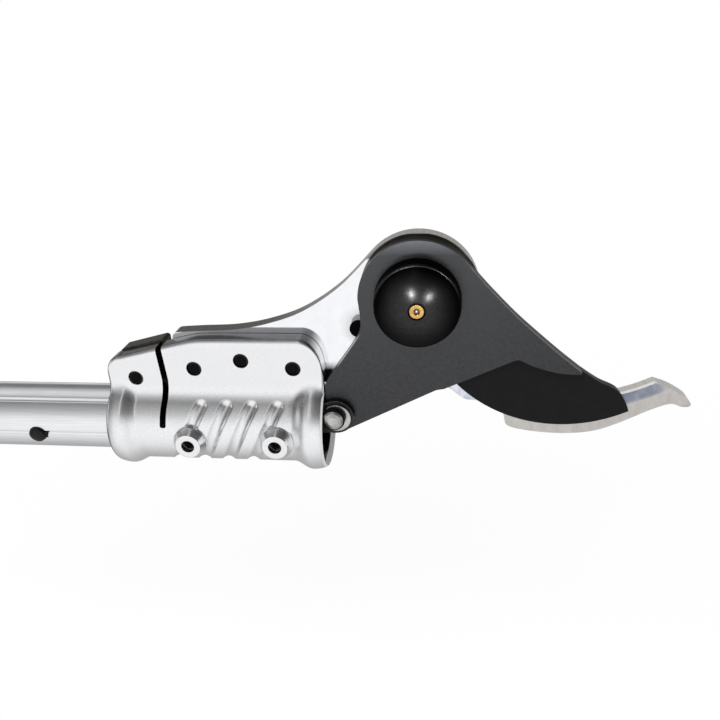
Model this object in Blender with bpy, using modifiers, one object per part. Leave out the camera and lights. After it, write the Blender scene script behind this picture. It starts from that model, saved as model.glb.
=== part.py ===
"""Cutting head of an electric pole pruner, on the front end of its pole.

The pole runs along +X with its open rear end at the origin, the cutting plates stand in the XZ plane and
+Z is up. A cast socket clamps the pole and carries the hook plate. A motor, a gearbox and a screw inside
the pole push and pull a rod, and a link from that rod swings the blade about the pivot.
Sizes below are millimetres. Run with: blender --background --python part.py
"""
import math

import bmesh
import bpy
from mathutils import Matrix, Vector

MM = 0.001
GAP = 0.3                       # air left between pieces that touch
FAR = 60.0                      # reach of a cutter that goes right through

# Pole: extruded tube with shallow flutes
POLE_R = 13.0
POLE_BORE = 11.5
POLE_END = 164.0
FLUTE_COUNT = 6
FLUTE_FIRST = -10.7             # degrees above -Y, seen from the open end
FLUTE_WIDTH = 3.0
FLUTE_DEPTH = 0.55

# Socket: cast clamp with a flange in front of the hook plate and one behind it
SOCKET_X = (108.2, 192.0)
SOCKET_R = 16.3
SOCKET_BORE = POLE_R + GAP
BEADS = ((113.2, 2.3, 11.0, 6.4), (185.5, 2.8, 8.0, 18.0))     # centre, height, reach to the left and right
FRONT_FACE = -8.1
REAR_FACE = 10.3
FILLET = 7.5
LIP = 1.8
SLOT_FLOOR = 16.45
END_ROUND = 1.3
END_DRAW = 0.6                  # how far the round body is drawn in over that length
MOUTH = ((164.5, 13.3), (166.0, 13.8), (174.0, 13.9), (182.0, 14.9), (187.0, 15.9), (190.6, 16.6), (193.0, 17.6))
SLIT_LINE = ((129.6, 42.0), (130.1, 34.3), (131.0, 20.5), (130.4, 14.5), (130.2, 3.9))
SLIT_WIDTH = 2.4
GROOVE_TOPS = (144.8, 154.7, 164.4, 174.4)
GROOVE_ANGLES = (44.5, -105.0)
GROOVE_LEAD = 13.1 / 107.0      # shift along the pole for each degree round it
GROOVE_BAR = 3.0
GROOVE_DEPTH = 1.1
BOSSES = ((140.9, -1.1), (174.4, -0.6))
BOSS_FACE_R = 4.6
BOSS_BASE = (6.4, -15.9)
BOSS_FACE = -19.8
SET_SCREW_R = 2.3
RIVETS = ((119.4, 21.2), (142.9, 25.4), (161.3, 28.9), (180.7, 25.9))
RIVET_R = 2.5
RIVET_SUNK = 0.55

# Plates, from back to front
PLATE_Y = (-1.0, 5.0)
BLADE_Y = (-4.8, -1.3)
LEVER_Y = (-7.6, -5.1)
HEAD_R = 21.8
LEVER_HEAD_R = 20.9

# Joints
PIVOT = (226.6, 52.9)
PIN = (196.2, 7.2)
LINK_LENGTH = 40.0
TAIL = (PIN[0] - math.sqrt(LINK_LENGTH ** 2 - PIN[1] ** 2), 0.0)
STOP = (205.2, 40.5)
BLADE_EDGE = ((241.0, 18.3), (274.2, 2.2), (303.1, 8.2))      # three points on a circle
BEVEL_WIDTH = 0.9
THROAT_LINE = ((260.0, 14.0, 0.2), (268.0, 10.7, 2.6), (278.0, 9.6, 4.0), (290.0, 10.8, 4.0), (300.3, 13.4, 4.0),
               (306.8, 15.6, 4.0), (312.4, 18.4, 4.0), (319.0, 22.2, 4.0))      # along the hook's edge, with the bevel's width
THROAT_DEPTH = 0.9
STOP_R = 3.2

# Pivot stack
BOLT_R = 6.0
BUSH_R = 11.0
CAP_R = 15.1
OILER_R = 2.85
CAP_RIM = 6.5
CAP_RISE = 5.1

# Link and rod
PIN_R = 3.0
LINK_HEAD_R = 6.4
LINK_BAR = 4.5
LINK_TAIL_R = 6.4
TAIL_PIN_R = 2.0
TAIL_EYE_R = 4.4
JAW_Y = (-10.4, 4.4)
FORK_SLOT_END = 184.6
ROD_R = 7.0
ROD_BORE = 4.6

# Screw drive inside the pole, as places along the pole
NUT_X = (94.0, 108.0)
TUBE_X = (108.3, 141.7)
FORK_X = (142.0, 163.0)
BUSH_X = (130.0, 141.0)
BEARING_X = (83.0, 92.7)
COUPLING_X = (70.0, 82.0)
GEARBOX_X = (47.0, 69.0)
MOTOR_X = (11.0, 46.7)
SCREW_R = 4.0
JOURNAL_R = 3.0
DRIVE_R = 11.0

# Lock button on the pole
BUTTON_X = 76.0
BUTTON_R = 2.9
BUTTON_HEAD = 1.7
BUTTON_TURN = 9.5              # degrees below -Y


def clear_scene():
    for item in list(bpy.data.objects):
        bpy.data.objects.remove(item, do_unlink=True)


def new_collection(name):
    group = bpy.data.collections.new(name)
    bpy.context.scene.collection.children.link(group)
    return group


clear_scene()
PARTS = new_collection("pole_pruner_head")
CUTTERS = new_collection("cutters")


def metal_or_plastic(name, colour, roughness, metallic):
    """A Principled material with the part's plain colour."""
    made = bpy.data.materials.new(name)
    made.use_nodes = True
    shader = made.node_tree.nodes["Principled BSDF"]
    shader.inputs["Base Color"].default_value = (*colour, 1.0)
    shader.inputs["Roughness"].default_value = roughness
    shader.inputs["Metallic"].default_value = metallic
    return made


CAST = metal_or_plastic("cast_aluminium", (0.72, 0.73, 0.75), 0.38, 1.0)
EXTRUDED = metal_or_plastic("extruded_aluminium", (0.76, 0.77, 0.79), 0.3, 1.0)
POLISHED = metal_or_plastic("polished_steel", (0.8, 0.8, 0.82), 0.15, 1.0)
STEEL = metal_or_plastic("turned_steel", (0.6, 0.6, 0.62), 0.3, 1.0)
BLACKED = metal_or_plastic("blackened_steel", (0.03, 0.03, 0.03), 0.45, 0.6)
LEVER_PAINT = metal_or_plastic("dark_lever_coating", (0.055, 0.056, 0.06), 0.55, 0.3)
BLADE_COAT = metal_or_plastic("black_blade_coating", (0.014, 0.014, 0.015), 0.5, 0.2)
BRASS = metal_or_plastic("brass", (0.78, 0.55, 0.25), 0.28, 1.0)
RUBBER = metal_or_plastic("black_rubber", (0.012, 0.012, 0.012), 0.7, 0.0)
BLACK_PLASTIC = metal_or_plastic("black_plastic", (0.015, 0.015, 0.015), 0.5, 0.0)
BUSH_PLASTIC = metal_or_plastic("bearing_plastic", (0.75, 0.73, 0.68), 0.5, 0.0)


def keep(item, material, group=PARTS):
    """Files an object with its material, and shades its round faces smooth."""
    for old in list(item.users_collection):
        old.objects.unlink(item)
    group.objects.link(item)
    if group is CUTTERS:
        item.hide_render = True
        item.display_type = "WIRE"
    if material is not None:
        item.data.materials.clear()
        item.data.materials.append(material)
    if item.type == "MESH":
        item.data.shade_smooth()
        item.data.set_sharp_from_angle(angle=math.radians(35))
    return item


def mesh_object(name, work, material, group=PARTS):
    mesh = bpy.data.meshes.new(name)
    work.to_mesh(mesh)
    work.free()
    return keep(bpy.data.objects.new(name, mesh), material, group)


ALONG_X = Matrix.Rotation(math.radians(90), 4, "Y")      # local Z becomes +X
TO_FRONT = Matrix.Rotation(math.radians(90), 4, "X")     # local Z becomes -Y


def turned(name, profile, place, turn, material, steps=16, group=PARTS, ring=False):
    """Turns a profile of (radius, height) pairs, running down its outer side, about local Z."""
    work = bmesh.new()
    points = [work.verts.new((radius * MM, 0.0, height * MM)) for radius, height in profile]
    for first, second in zip(points, points[1:] + (points[:1] if ring else [])):
        work.edges.new((first, second))
    item = mesh_object(name, work, material, group)
    screw = item.modifiers.new("Turn", "SCREW")
    screw.axis = "Z"
    screw.steps = screw.render_steps = steps
    screw.use_merge_vertices = True
    screw.merge_threshold = 0.00001
    screw.use_normal_calculate = False
    item.matrix_world = Matrix.Translation(Vector(place) * MM) @ turn
    return item


def along_pole(name, x_range, radius, material, bore=0.0, chamfer=0.4, **options):
    """A round piece on the pole's axis, with an optional bore right through it."""
    start, end = x_range
    outer = [(radius - chamfer, end), (radius, end - chamfer), (radius, start + chamfer), (radius - chamfer, start)]
    if bore:
        return turned(name, outer + [(bore, start), (bore, end)], (0, 0, 0), ALONG_X, material, ring=True, **options)
    return turned(name, [(0, end)] + outer + [(0, start)], (0, 0, 0), ALONG_X, material, **options)


def arc(centre, radius, start, end, count):
    """Points on a circle from one angle to another, in degrees anticlockwise from +X."""
    turns = [math.radians(start + (end - start) * i / count) for i in range(count + 1)]
    return [(centre[0] + radius * math.cos(t), centre[1] + radius * math.sin(t)) for t in turns]


def circle(centre, radius, count=32):
    return arc(centre, radius, 0, 360, count)[:-1]


def arc_through(first, middle, last, count):
    """Points on the circle through three points, and its centre."""
    (ax, ay), (bx, by), (cx, cy) = first, middle, last
    area = 2 * (ax * (by - cy) + bx * (cy - ay) + cx * (ay - by))
    sa, sb, sc = ax * ax + ay * ay, bx * bx + by * by, cx * cx + cy * cy
    centre = ((sa * (by - cy) + sb * (cy - ay) + sc * (ay - by)) / area,
              (sa * (cx - bx) + sb * (ax - cx) + sc * (bx - ax)) / area)
    radius = math.dist(centre, first)
    start = math.degrees(math.atan2(ay - centre[1], ax - centre[0]))
    end = math.degrees(math.atan2(cy - centre[1], cx - centre[0]))
    if area > 0 and end < start:
        end += 360
    if area < 0 and end > start:
        end -= 360
    return arc(centre, radius, start, end, count), centre


def smooth(points, count=4):
    """A smooth line through a few points, with its ends where they are."""
    padded = [points[0]] + list(points) + [points[-1]]
    line = []
    for p0, p1, p2, p3 in zip(padded, padded[1:], padded[2:], padded[3:]):
        for step in range(count):
            t = step / count
            line.append(tuple(
                0.5 * (2 * b + (c - a) * t + (2 * a - 5 * b + 4 * c - d) * t * t + (3 * b - a - 3 * c + d) * t ** 3)
                for a, b, c, d in zip(p0, p1, p2, p3)))
    return line + [points[-1]]


def rounded(points, radii, count=4):
    """A closed outline whose corners are rounded to the radii given, 0 for a sharp one."""
    line = []
    for i, corner in enumerate(points):
        radius = radii[i]
        here = Vector(corner)
        if not radius:
            line.append(corner)
            continue
        back = (Vector(points[i - 1]) - here).normalized()
        ahead = (Vector(points[(i + 1) % len(points)]) - here).normalized()
        half = back.angle(ahead) / 2
        middle = here + (back + ahead).normalized() * (radius / math.sin(half))
        first = here + back * (radius / math.tan(half)) - middle
        last = here + ahead * (radius / math.tan(half)) - middle
        sweep = first.angle_signed(last)
        for step in range(count + 1):
            turned_by = Matrix.Rotation(-sweep * step / count, 2)
            spot = middle + turned_by @ first
            line.append((spot.x, spot.y))
    return line


def flat(name, outlines, y_range, material, origin=(0.0, 0.0), group=PARTS):
    """A plate in the XZ plane from an outline and its holes, with its origin at a joint's axis."""
    curve = bpy.data.curves.new(name, "CURVE")
    curve.dimensions = "2D"
    curve.fill_mode = "BOTH"
    curve.extrude = abs(y_range[1] - y_range[0]) / 2 * MM
    for outline in outlines:
        spline = curve.splines.new("POLY")
        spline.points.add(len(outline) - 1)
        for point, (x, z) in zip(spline.points, outline):
            point.co = ((x - origin[0]) * MM, (z - origin[1]) * MM, 0.0, 1.0)
        spline.use_cyclic_u = True
    place = Vector((origin[0], sum(y_range) / 2, origin[1])) * MM
    return meshed(name, curve, Matrix.Translation(place) @ TO_FRONT, material, group)


def meshed(name, curve, matrix, material, group):
    """Turns a curve into a closed mesh, welds its caps, and removes the curve."""
    source = bpy.data.objects.new(name + "_curve", curve)
    bpy.context.scene.collection.objects.link(source)
    source.matrix_world = matrix
    depsgraph = bpy.context.evaluated_depsgraph_get()
    mesh = bpy.data.meshes.new_from_object(source.evaluated_get(depsgraph))
    mesh.name = name
    bpy.data.objects.remove(source, do_unlink=True)
    work = bmesh.new()
    work.from_mesh(mesh)
    bmesh.ops.remove_doubles(work, verts=work.verts, dist=0.000002)
    work.to_mesh(mesh)
    work.free()
    item = keep(bpy.data.objects.new(name, mesh), material, group)
    item.matrix_world = matrix
    return item


def bar(name, points, radius, shares, material, group=CUTTERS, resolution=2):
    """A round bar along a line of points, each with its share of the radius."""
    curve = bpy.data.curves.new(name, "CURVE")
    curve.dimensions = "3D"
    curve.bevel_depth = radius * MM
    curve.bevel_resolution = resolution
    curve.use_fill_caps = True
    spline = curve.splines.new("POLY")
    spline.points.add(len(points) - 1)
    for point, spot, share in zip(spline.points, points, shares):
        point.co = (*(Vector(spot) * MM), 1.0)
        point.radius = share
    return meshed(name, curve, Matrix.Identity(4), material, group)


def loft(name, rings, material, group):
    """A closed skin through rings that have the same number of points."""
    work = bmesh.new()
    loops = [[work.verts.new(Vector(spot) * MM) for spot in ring] for ring in rings]
    count = len(loops[0])
    for first, second in zip(loops, loops[1:]):
        for i in range(count):
            j = (i + 1) % count
            work.faces.new((first[i], first[j], second[j], second[i]))
    work.faces.new(loops[0])
    work.faces.new(loops[-1])
    bmesh.ops.recalc_face_normals(work, faces=work.faces)
    return mesh_object(name, work, material, group)


def boolean(item, other, operation="DIFFERENCE"):
    step = item.modifiers.new(operation.title(), "BOOLEAN")
    step.operation = operation
    step.solver = "EXACT"
    step.object = other


def box(name, low, high, group=CUTTERS, material=None):
    work = bmesh.new()
    bmesh.ops.create_cube(work, size=1.0)
    size = Vector(high) - Vector(low)
    middle = (Vector(high) + Vector(low)) / 2
    for vertex in work.verts:
        vertex.co = Vector([(middle[i] + vertex.co[i] * size[i]) * MM for i in range(3)])
    return mesh_object(name, work, material, group)


def cross_hole(name, centre, radius, y_range=(-FAR, FAR), steps=24):
    """A cutter for a round hole along Y."""
    profile = [(0, -y_range[0]), (radius, -y_range[0]), (radius, -y_range[1]), (0, -y_range[1])]
    return turned(name, profile, (centre[0], 0, centre[1]), TO_FRONT, None, steps=steps, group=CUTTERS)


# Pole

def fluted_outline():
    """The pole's outside, as (Y, Z) pairs: a circle with shallow round-bottomed flutes."""
    line = []
    half = math.degrees(FLUTE_WIDTH / 2 / POLE_R)
    pitch = 360 / FLUTE_COUNT
    for i in range(FLUTE_COUNT):
        middle = FLUTE_FIRST + i * pitch
        line += arc((0, 0), POLE_R, middle + half - pitch, middle - half, 9)
        for share, depth in ((-0.8, 0.75), (-0.35, 1.0), (0.35, 1.0), (0.8, 0.75)):
            line.append(arc((0, 0), POLE_R - FLUTE_DEPTH * depth, middle + share * half, 0, 1)[0])
    return line


def pole_tube():
    curve = bpy.data.curves.new("pole_tube", "CURVE")
    curve.dimensions = "2D"
    curve.fill_mode = "BOTH"
    curve.extrude = POLE_END / 2 * MM
    for outline in (fluted_outline(), circle((0, 0), POLE_BORE, 40)):
        spline = curve.splines.new("POLY")
        spline.points.add(len(outline) - 1)
        for point, (front, up) in zip(spline.points, outline):
            point.co = (-up * MM, -front * MM, 0.0, 1.0)
        spline.use_cyclic_u = True
    tube = meshed("pole_tube", curve, Matrix.Translation((POLE_END / 2 * MM, 0, 0)) @ ALONG_X, EXTRUDED, PARTS)
    boolean(tube, button_shape("button_window", BUTTON_R + 0.35, 0.35, 20.0, None, CUTTERS))
    return tube


# Lock button

def button_frame():
    """Local Z points out of the pole through the middle of the button, local X along the pole."""
    down = math.radians(BUTTON_TURN)
    out = Vector((0, -math.cos(down), -math.sin(down)))
    ahead = Vector((1, 0, 0))
    return Matrix.Translation((BUTTON_X * MM, 0, 0)) @ Matrix((ahead, out.cross(ahead), out)).transposed().to_4x4()


def button_shape(name, radius, spare, top, material, group):
    """The button's round head with its sprung tongue, or the window that they move through."""
    bottom = 9.0 if group is CUTTERS else 10.7
    if group is CUTTERS:
        profile = [(0, top), (radius, top), (radius, bottom), (0, bottom)]
    else:
        crown = arc_through((0, top), (radius * 0.6, top - 0.35), (radius, top - 1.3), 4)[0]
        profile = crown + [(radius, bottom + 0.5), (0, bottom + 0.5)]
    item = turned(name, profile, (0, 0, 0), Matrix.Identity(4), material, steps=20, group=group)
    item.matrix_world = button_frame()
    tongue_top = top if group is CUTTERS else POLE_R + 0.75
    tongue = box(name + "_tongue", (0.5, -1.35 - spare, bottom + 0.2), (4.3 + spare, 1.35 + spare, tongue_top))
    tongue.matrix_world = button_frame()
    boolean(item, tongue, "UNION")
    return item


def lock_button():
    item = button_shape("lock_button", BUTTON_R, 0.0, POLE_R + BUTTON_HEAD, BLACK_PLASTIC, PARTS)
    foot = box("lock_button_foot", (-4.4, -2.6, 9.9), (6.4, 2.6, 10.9))
    foot.matrix_world = button_frame()
    boolean(item, foot, "UNION")
    return item


# Socket

def bead_height(x):
    """How far the end beads stand out of the socket's round body."""
    height = 0.0
    for centre, rise, before, after in BEADS:
        off = (centre - x) / before if x < centre else (x - centre) / after
        if off < 1:
            height += rise * math.cos(off * math.pi / 2) ** 2
    return height


def end_inset(x):
    """How far the flanges are drawn in where the socket's ends are rounded."""
    near = min(x - SOCKET_X[0], SOCKET_X[1] - x)
    if near >= END_ROUND:
        return 0.0
    return END_ROUND - math.sqrt(END_ROUND ** 2 - (END_ROUND - near) ** 2)


def flange_top(x):
    """Height of the front flange: a rounded left corner, a slope, a level run and a round right corner."""
    left, level, right = 114.0, 37.25, 182.5
    if x < left:
        return 22.4 + 7.5 * math.sqrt(max(0.0, 1 - ((left - x) / 6.0) ** 2))
    if x > right:
        return 25.5 + 11.75 * math.sqrt(max(0.0, 1 - ((x - right) / 9.0) ** 2))
    slope = 29.9 + (x - left) * 0.247
    return level - 0.5 * (math.hypot(level - slope, 0.8) + level - slope)


def rear_flange_top(x):
    lower_ear = 1.2 if x < SLIT_LINE[0][0] else 0.0
    return flange_top(x) - 3.8 - lower_ear


def side_of_section(face, radius, top, lip, steps_round):
    """Half a section from the flange's top, down its face and into the round body, as (out, up) pairs."""
    reach = radius + FILLET
    centre = (face + FILLET, math.sqrt(reach ** 2 - (face + FILLET) ** 2))
    meet = math.degrees(math.atan2(centre[1], centre[0]))
    line = arc((face - lip, top - lip), lip, 90, 0, 3)
    line += arc(centre, FILLET, 180, 180 + meet, 3)
    line += arc((0, 0), radius, meet, -90, steps_round)[1:]
    return line


def socket_section(x):
    """The socket's outline at one place along the pole, open at the top for the hook plate."""
    inset = end_inset(x)
    radius = SOCKET_R + bead_height(x) - inset * END_DRAW / END_ROUND
    front = side_of_section(-FRONT_FACE - inset, radius, flange_top(x) - inset, LIP, 10)
    rear = side_of_section(REAR_FACE - inset, radius, rear_flange_top(x) - inset, LIP, 10)
    slot_front, slot_rear = PLATE_Y[0] - GAP, PLATE_Y[1] + GAP
    line = [(slot_front, SLOT_FLOOR), (slot_front, flange_top(x) - inset)]
    line += [(-out, up) for out, up in front]
    line += [(out, up) for out, up in reversed(rear[:-1])]
    line += [(slot_rear, rear_flange_top(x) - inset), (slot_rear, SLOT_FLOOR)]
    return line


def socket_stations():
    """Places along the pole, close together on the rounded ends and the beads."""
    left, right = SOCKET_X
    near_end = (0.0, 0.3, 0.8, 1.3)
    stations = [left + step for step in near_end] + [right - step for step in near_end]
    stations += [left + 4.3 + 1.9 * i for i in range(6)]
    stations += [right - 4.2 - 2.0 * i for i in range(5)]
    stations += [127.0, 136.0, 141.2, 145.5, 158.0, 172.0]
    return sorted(set(round(x, 3) for x in stations))


def pole_socket():
    """A loft through the sections, then the grooves, bosses, bore, slit and holes."""
    rings = [[(x, y, z) for y, z in socket_section(x)] for x in socket_stations()]
    socket = loft("pole_socket", rings, CAST, PARTS)
    for number, top in enumerate(GROOVE_TOPS, 1):
        boolean(socket, groove_cutter(number, top))
    for number, centre in enumerate(BOSSES, 1):
        boolean(socket, boss(number, centre), "UNION")
    boolean(socket, mouth_cutter())
    boolean(socket, slit_cutter())
    for number, centre in enumerate(RIVETS, 1):
        boolean(socket, rivet_hole(number, centre))
    for number, centre in enumerate(BOSSES, 1):
        boolean(socket, cross_hole(f"set_screw_hole_{number}", centre, SET_SCREW_R + GAP, (-FAR, -8.0), 16))
    return socket


def groove_cutter(number, top):
    """A bar wound a little along the pole, which leaves a round-ended groove in the skin."""
    start, end = GROOVE_ANGLES
    reach = SOCKET_R + GROOVE_BAR - GROOVE_DEPTH
    points, shares = [], []
    for degrees, share in ((start + 7, 0.35), (start + 4.5, 0.85)):
        points.append(around_pole(top, degrees, reach))
        shares.append(share)
    steps = 8
    for i in range(steps + 1):
        points.append(around_pole(top, start + (end - start) * i / steps, reach))
        shares.append(1.0)
    return bar(f"groove_{number}", points, GROOVE_BAR, shares, None)


def around_pole(top, degrees, reach):
    """A point beside the pole at an angle above -Y, moved along it as the grooves are."""
    turn = math.radians(degrees)
    x = top - (GROOVE_ANGLES[0] - degrees) * GROOVE_LEAD
    return (x, -reach * math.cos(turn), reach * math.sin(turn))


def boss(number, centre):
    base_r, base = BOSS_BASE
    profile = [(0, -BOSS_FACE), (BOSS_FACE_R - 0.3, -BOSS_FACE), (BOSS_FACE_R, -BOSS_FACE - 0.3), (base_r, -base), (base_r, 14.2), (0, 14.2)]
    return turned(f"boss_{number}", profile, (centre[0], 0, centre[1]), TO_FRONT, None, steps=20, group=CUTTERS)


def mouth_cutter():
    """The bore for the pole, opening out towards the mouth that the link moves in."""
    outer = [(radius, x) for x, radius in reversed(MOUTH)]
    profile = [(0, MOUTH[-1][0])] + outer + [(SOCKET_BORE, SOCKET_X[0] - 2), (0, SOCKET_X[0] - 2)]
    return turned("mouth", profile, (0, 0, 0), ALONG_X, None, steps=28, group=CUTTERS)


def slit_cutter():
    left = [(x - SLIT_WIDTH / 2, z) for x, z in SLIT_LINE]
    right = [(x + SLIT_WIDTH / 2, z) for x, z in reversed(SLIT_LINE)]
    return flat("slit", [left + right], (-FAR, FAR), None, group=CUTTERS)


def rivet_hole(number, centre):
    return cross_hole(f"rivet_hole_{number}", centre, RIVET_R + GAP, steps=20)


def frame_rivet(number, centre):
    """A rivet whose plain end sits just below the front flange's face, with its formed head behind the rear one."""
    face, back = -FRONT_FACE - RIVET_SUNK, -REAR_FACE - GAP
    crown = arc_through((4.3, back - 0.5), (3.0, back - 1.4), (0, back - 1.8), 2)[0]
    profile = [(0, face), (RIVET_R - 0.25, face), (RIVET_R, face - 0.25), (RIVET_R, back), (4.3, back)] + crown
    return turned(f"frame_rivet_{number}", profile, (centre[0], 0, centre[1]), TO_FRONT, BLACKED, steps=14)


def set_screw(number, centre):
    """A screw that bears on the pole, sunk in its boss, with a key socket."""
    face, tip = 17.2, POLE_R + 0.55
    profile = [(0, face - 2.0), (1.2, face - 2.0), (1.2, face), (SET_SCREW_R - 0.3, face),
               (SET_SCREW_R, face - 0.3), (SET_SCREW_R, tip + 0.5), (1.4, tip), (0, tip)]
    return turned(f"set_screw_{number}", profile, (centre[0], 0, centre[1]), TO_FRONT, BLACKED, steps=14)


def socket_spacer():
    """The steel filler between the flanges, on the pole side of the slit."""
    outline = rounded([(109.6, 17.0), (130.5, 17.0), (130.5, 34.9), (112.7, 30.3), (109.6, 25.5)],
                      [0, 0, 1.2, 2.5, 2.5])
    return flat("socket_spacer", [outline, circle(RIVETS[0], RIVET_R + GAP, 20)], PLATE_Y, STEEL)


# Plates

def hook_outline():
    """Bottom edge, hook, cutting edge, round head about the pivot, and the swept top."""
    corner = rounded([(133.6, 17.0), (160.0, 17.0), (160.0, 38.5), (133.6, 37.2)], [1.5, 0, 0, 2.5])
    left_end = corner[-5:] + corner[:5]
    under = smooth([(229.0, 17.0), (236.5, 16.3), (243.8, 11.1), (249.1, 10.1), (258.3, 5.2), (260.2, 0.0),
                    (268.0, -2.2), (280.5, -3.1), (291.6, -1.9), (300.3, 1.5), (311.9, 7.8), (318.3, 10.3),
                    (323.0, 9.2), (326.2, 9.6)], 3)
    tip = smooth([(326.2, 9.6), (323.3, 13.1), (317.8, 16.4), (312.4, 18.4)], 3)[1:]
    bite = smooth([(312.4, 18.4), (306.8, 15.6), (300.3, 13.4), (290.0, 10.8), (278.0, 9.6), (266.0, 11.2),
                   (256.5, 16.0), (250.5, 23.5), (247.6, 32.0), (246.9, 44.6)], 4)[1:-1]
    head = arc(PIVOT, HEAD_R, -22, 137, 26)
    top = smooth([head[-1], (198.7, 55.5), (184.8, 46.1), (171.3, 41.1), (158.4, 38.6), (145.0, 37.9),
                  (138.0, 37.5)], 3)[1:]
    return left_end + under + tip + bite + head + top


def hook_plate():
    holes = [circle(PIVOT, BOLT_R + GAP, 32), circle(STOP, 1.8 + GAP, 16)]
    holes += [circle(centre, RIVET_R + GAP, 20) for centre in RIVETS[1:]]
    plate = flat("hook_plate", [hook_outline()] + holes, PLATE_Y, POLISHED)
    boolean(plate, throat_grinder())
    return plate


def throat_grinder():
    """A wedge along the hook's cutting edge, which leaves a shallow bevel on the plate's front side."""
    front, spare = PLATE_Y[0], 3.0
    line = [Vector(point[:2]) for point in THROAT_LINE]
    rings = []
    for i, (x, z, width) in enumerate(THROAT_LINE):
        along = (line[min(i + 1, len(line) - 1)] - line[max(i - 1, 0)]).normalized()
        inward = Vector((along.y, -along.x))
        fall = THROAT_DEPTH / 4.0
        wedge = ((width, front - 0.01), (-spare, front - 4.0), (-spare, front + fall * (width + spare)))
        rings.append([(x + inward.x * r, y, z + inward.y * r) for r, y in wedge])
    return loft("throat_grinder", rings, None, CUTTERS)


def upper_edge():
    """The back that the lever plate and the blade share, from the blade's end up to the head."""
    return smooth([(284.6, 25.5), (276.2, 32.4), (261.8, 44.7), (251.2, 55.8), (246.0, 61.2)], 3)


def lever_plate():
    lower = [(192.3, 1.2), (192.8, -0.6), (194.2, -1.4), (196.9, -1.2), (233.4, 17.9), (236.2, 18.4), (261.0, 30.2),
             (262.6, 30.4)]
    scallop = smooth([(262.6, 30.4), (268.2, 27.7), (276.8, 25.3), (283.8, 24.9)], 3)[1:]
    head = arc(PIVOT, LEVER_HEAD_R, 25, 180, 24)
    left = smooth([head[-1], (206.4, 46.0), (206.1, 41.5), (203.2, 36.0), (195.9, 25.4), (192.6, 19.6),
                   (192.2, 12.0)], 3)[1:]
    holes = [circle(PIVOT, BUSH_R + GAP, 28), circle(PIN, PIN_R + 0.2, 20)]
    return flat("lever_plate", [lower + scallop + upper_edge() + head + left] + holes, LEVER_Y, LEVER_PAINT, PIVOT)


def cutting_blade():
    """The blade, with a bevel ground on its front side down to the curved edge."""
    edge, centre = arc_through(*BLADE_EDGE, 14)
    back = smooth([edge[-1], (302.3, 10.8), (300.2, 14.8), (297.4, 17.9), (291.3, 20.9), (284.6, 25.5)], 3)[1:-1]
    arm = Vector((PIN[0] - PIVOT[0], PIN[1] - PIVOT[1])).normalized()
    beside = Vector((arm.y, -arm.x))
    clear_of_stop = (Vector(STOP) - Vector(PIVOT)).dot(beside) - STOP_R - GAP
    along = math.sqrt(LEVER_HEAD_R ** 2 - clear_of_stop ** 2)
    notch = Vector(PIVOT) + arm * along + beside * clear_of_stop
    meet = math.degrees(math.atan2(notch.y - PIVOT[1], notch.x - PIVOT[0])) % 360
    head = arc(PIVOT, LEVER_HEAD_R, 25, meet, 20)
    boss_r = 5.8
    lean = math.degrees(math.atan2(beside.y, beside.x)) % 360
    foot = arc(PIN, boss_r, lean, lean + 150, 10)
    outline = edge + back + upper_edge() + head + foot
    holes = [circle(PIVOT, BUSH_R + GAP, 28), circle(PIN, PIN_R + 0.2, 20)]
    blade = flat("cutting_blade", [outline] + holes, BLADE_Y, BLADE_COAT, PIVOT)
    boolean(blade, edge_grinder("blade_grinder", centre, math.dist(centre, edge[0])))
    return blade


def edge_grinder(name, centre, radius):
    """A wedge swept round the cutting edge, which leaves a bevel on the blade's front side."""
    front, back = BLADE_Y
    wedge = ((radius - BEVEL_WIDTH, front - 0.01), (radius + 6.0, front - 3.0), (radius + 6.0, back - 0.35),
             (radius - 0.05, back - 0.35))
    first, last = (math.degrees(math.atan2(z - centre[1], x - centre[0])) for x, z in (BLADE_EDGE[0], BLADE_EDGE[2]))
    rings = []
    for degrees in [first - 3 + (last - first + 6) * i / 14 for i in range(15)]:
        turn = math.radians(degrees)
        rings.append([(centre[0] + r * math.cos(turn), y, centre[1] + r * math.sin(turn)) for r, y in wedge])
    return loft(name, rings, None, CUTTERS)


def bump_stop():
    """A rubber disc that the blade's arm closes against, with its stem through the hook plate."""
    front, face = -BLADE_Y[0] - 0.1, -PLATE_Y[0] + GAP
    profile = [(0, front), (STOP_R - 0.5, front), (STOP_R, front - 0.5), (STOP_R, face), (1.8, face), (1.8, -4.6), (0, -4.6)]
    return turned("bump_stop", profile, (STOP[0], 0, STOP[1]), TO_FRONT, RUBBER, steps=20)


# Pivot

def pivot_bush():
    profile = [(BUSH_R, -LEVER_Y[0] - GAP), (BUSH_R, -PLATE_Y[0] + GAP), (BOLT_R + GAP, -PLATE_Y[0] + GAP),
               (BOLT_R + GAP, -LEVER_Y[0] - GAP)]
    return turned("pivot_bush", profile, (PIVOT[0], 0, PIVOT[1]), TO_FRONT, STEEL, steps=28, ring=True)


def pivot_cap():
    """The domed nut over the lever, with a step below its rim and a seat for the oiler."""
    base = -LEVER_Y[0] + GAP
    rim, top = base + CAP_RIM, base + CAP_RIM + CAP_RISE
    dome = arc_through((OILER_R + GAP, top - 0.13), (9.0, top - 1.8), (14.1, rim), 6)[0]
    profile = [(0, top - 4.2), (OILER_R + GAP, top - 4.2)] + dome
    profile += [(CAP_R - 0.35, rim - 0.25), (CAP_R - 0.1, rim - 0.8), (CAP_R, base + 0.5), (CAP_R - 0.4, base),
                (BOLT_R + GAP, base), (BOLT_R + GAP, base + 5.4), (0, base + 5.4)]
    return turned("pivot_cap", profile, (PIVOT[0], 0, PIVOT[1]), TO_FRONT, BLACKED, steps=28)


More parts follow.
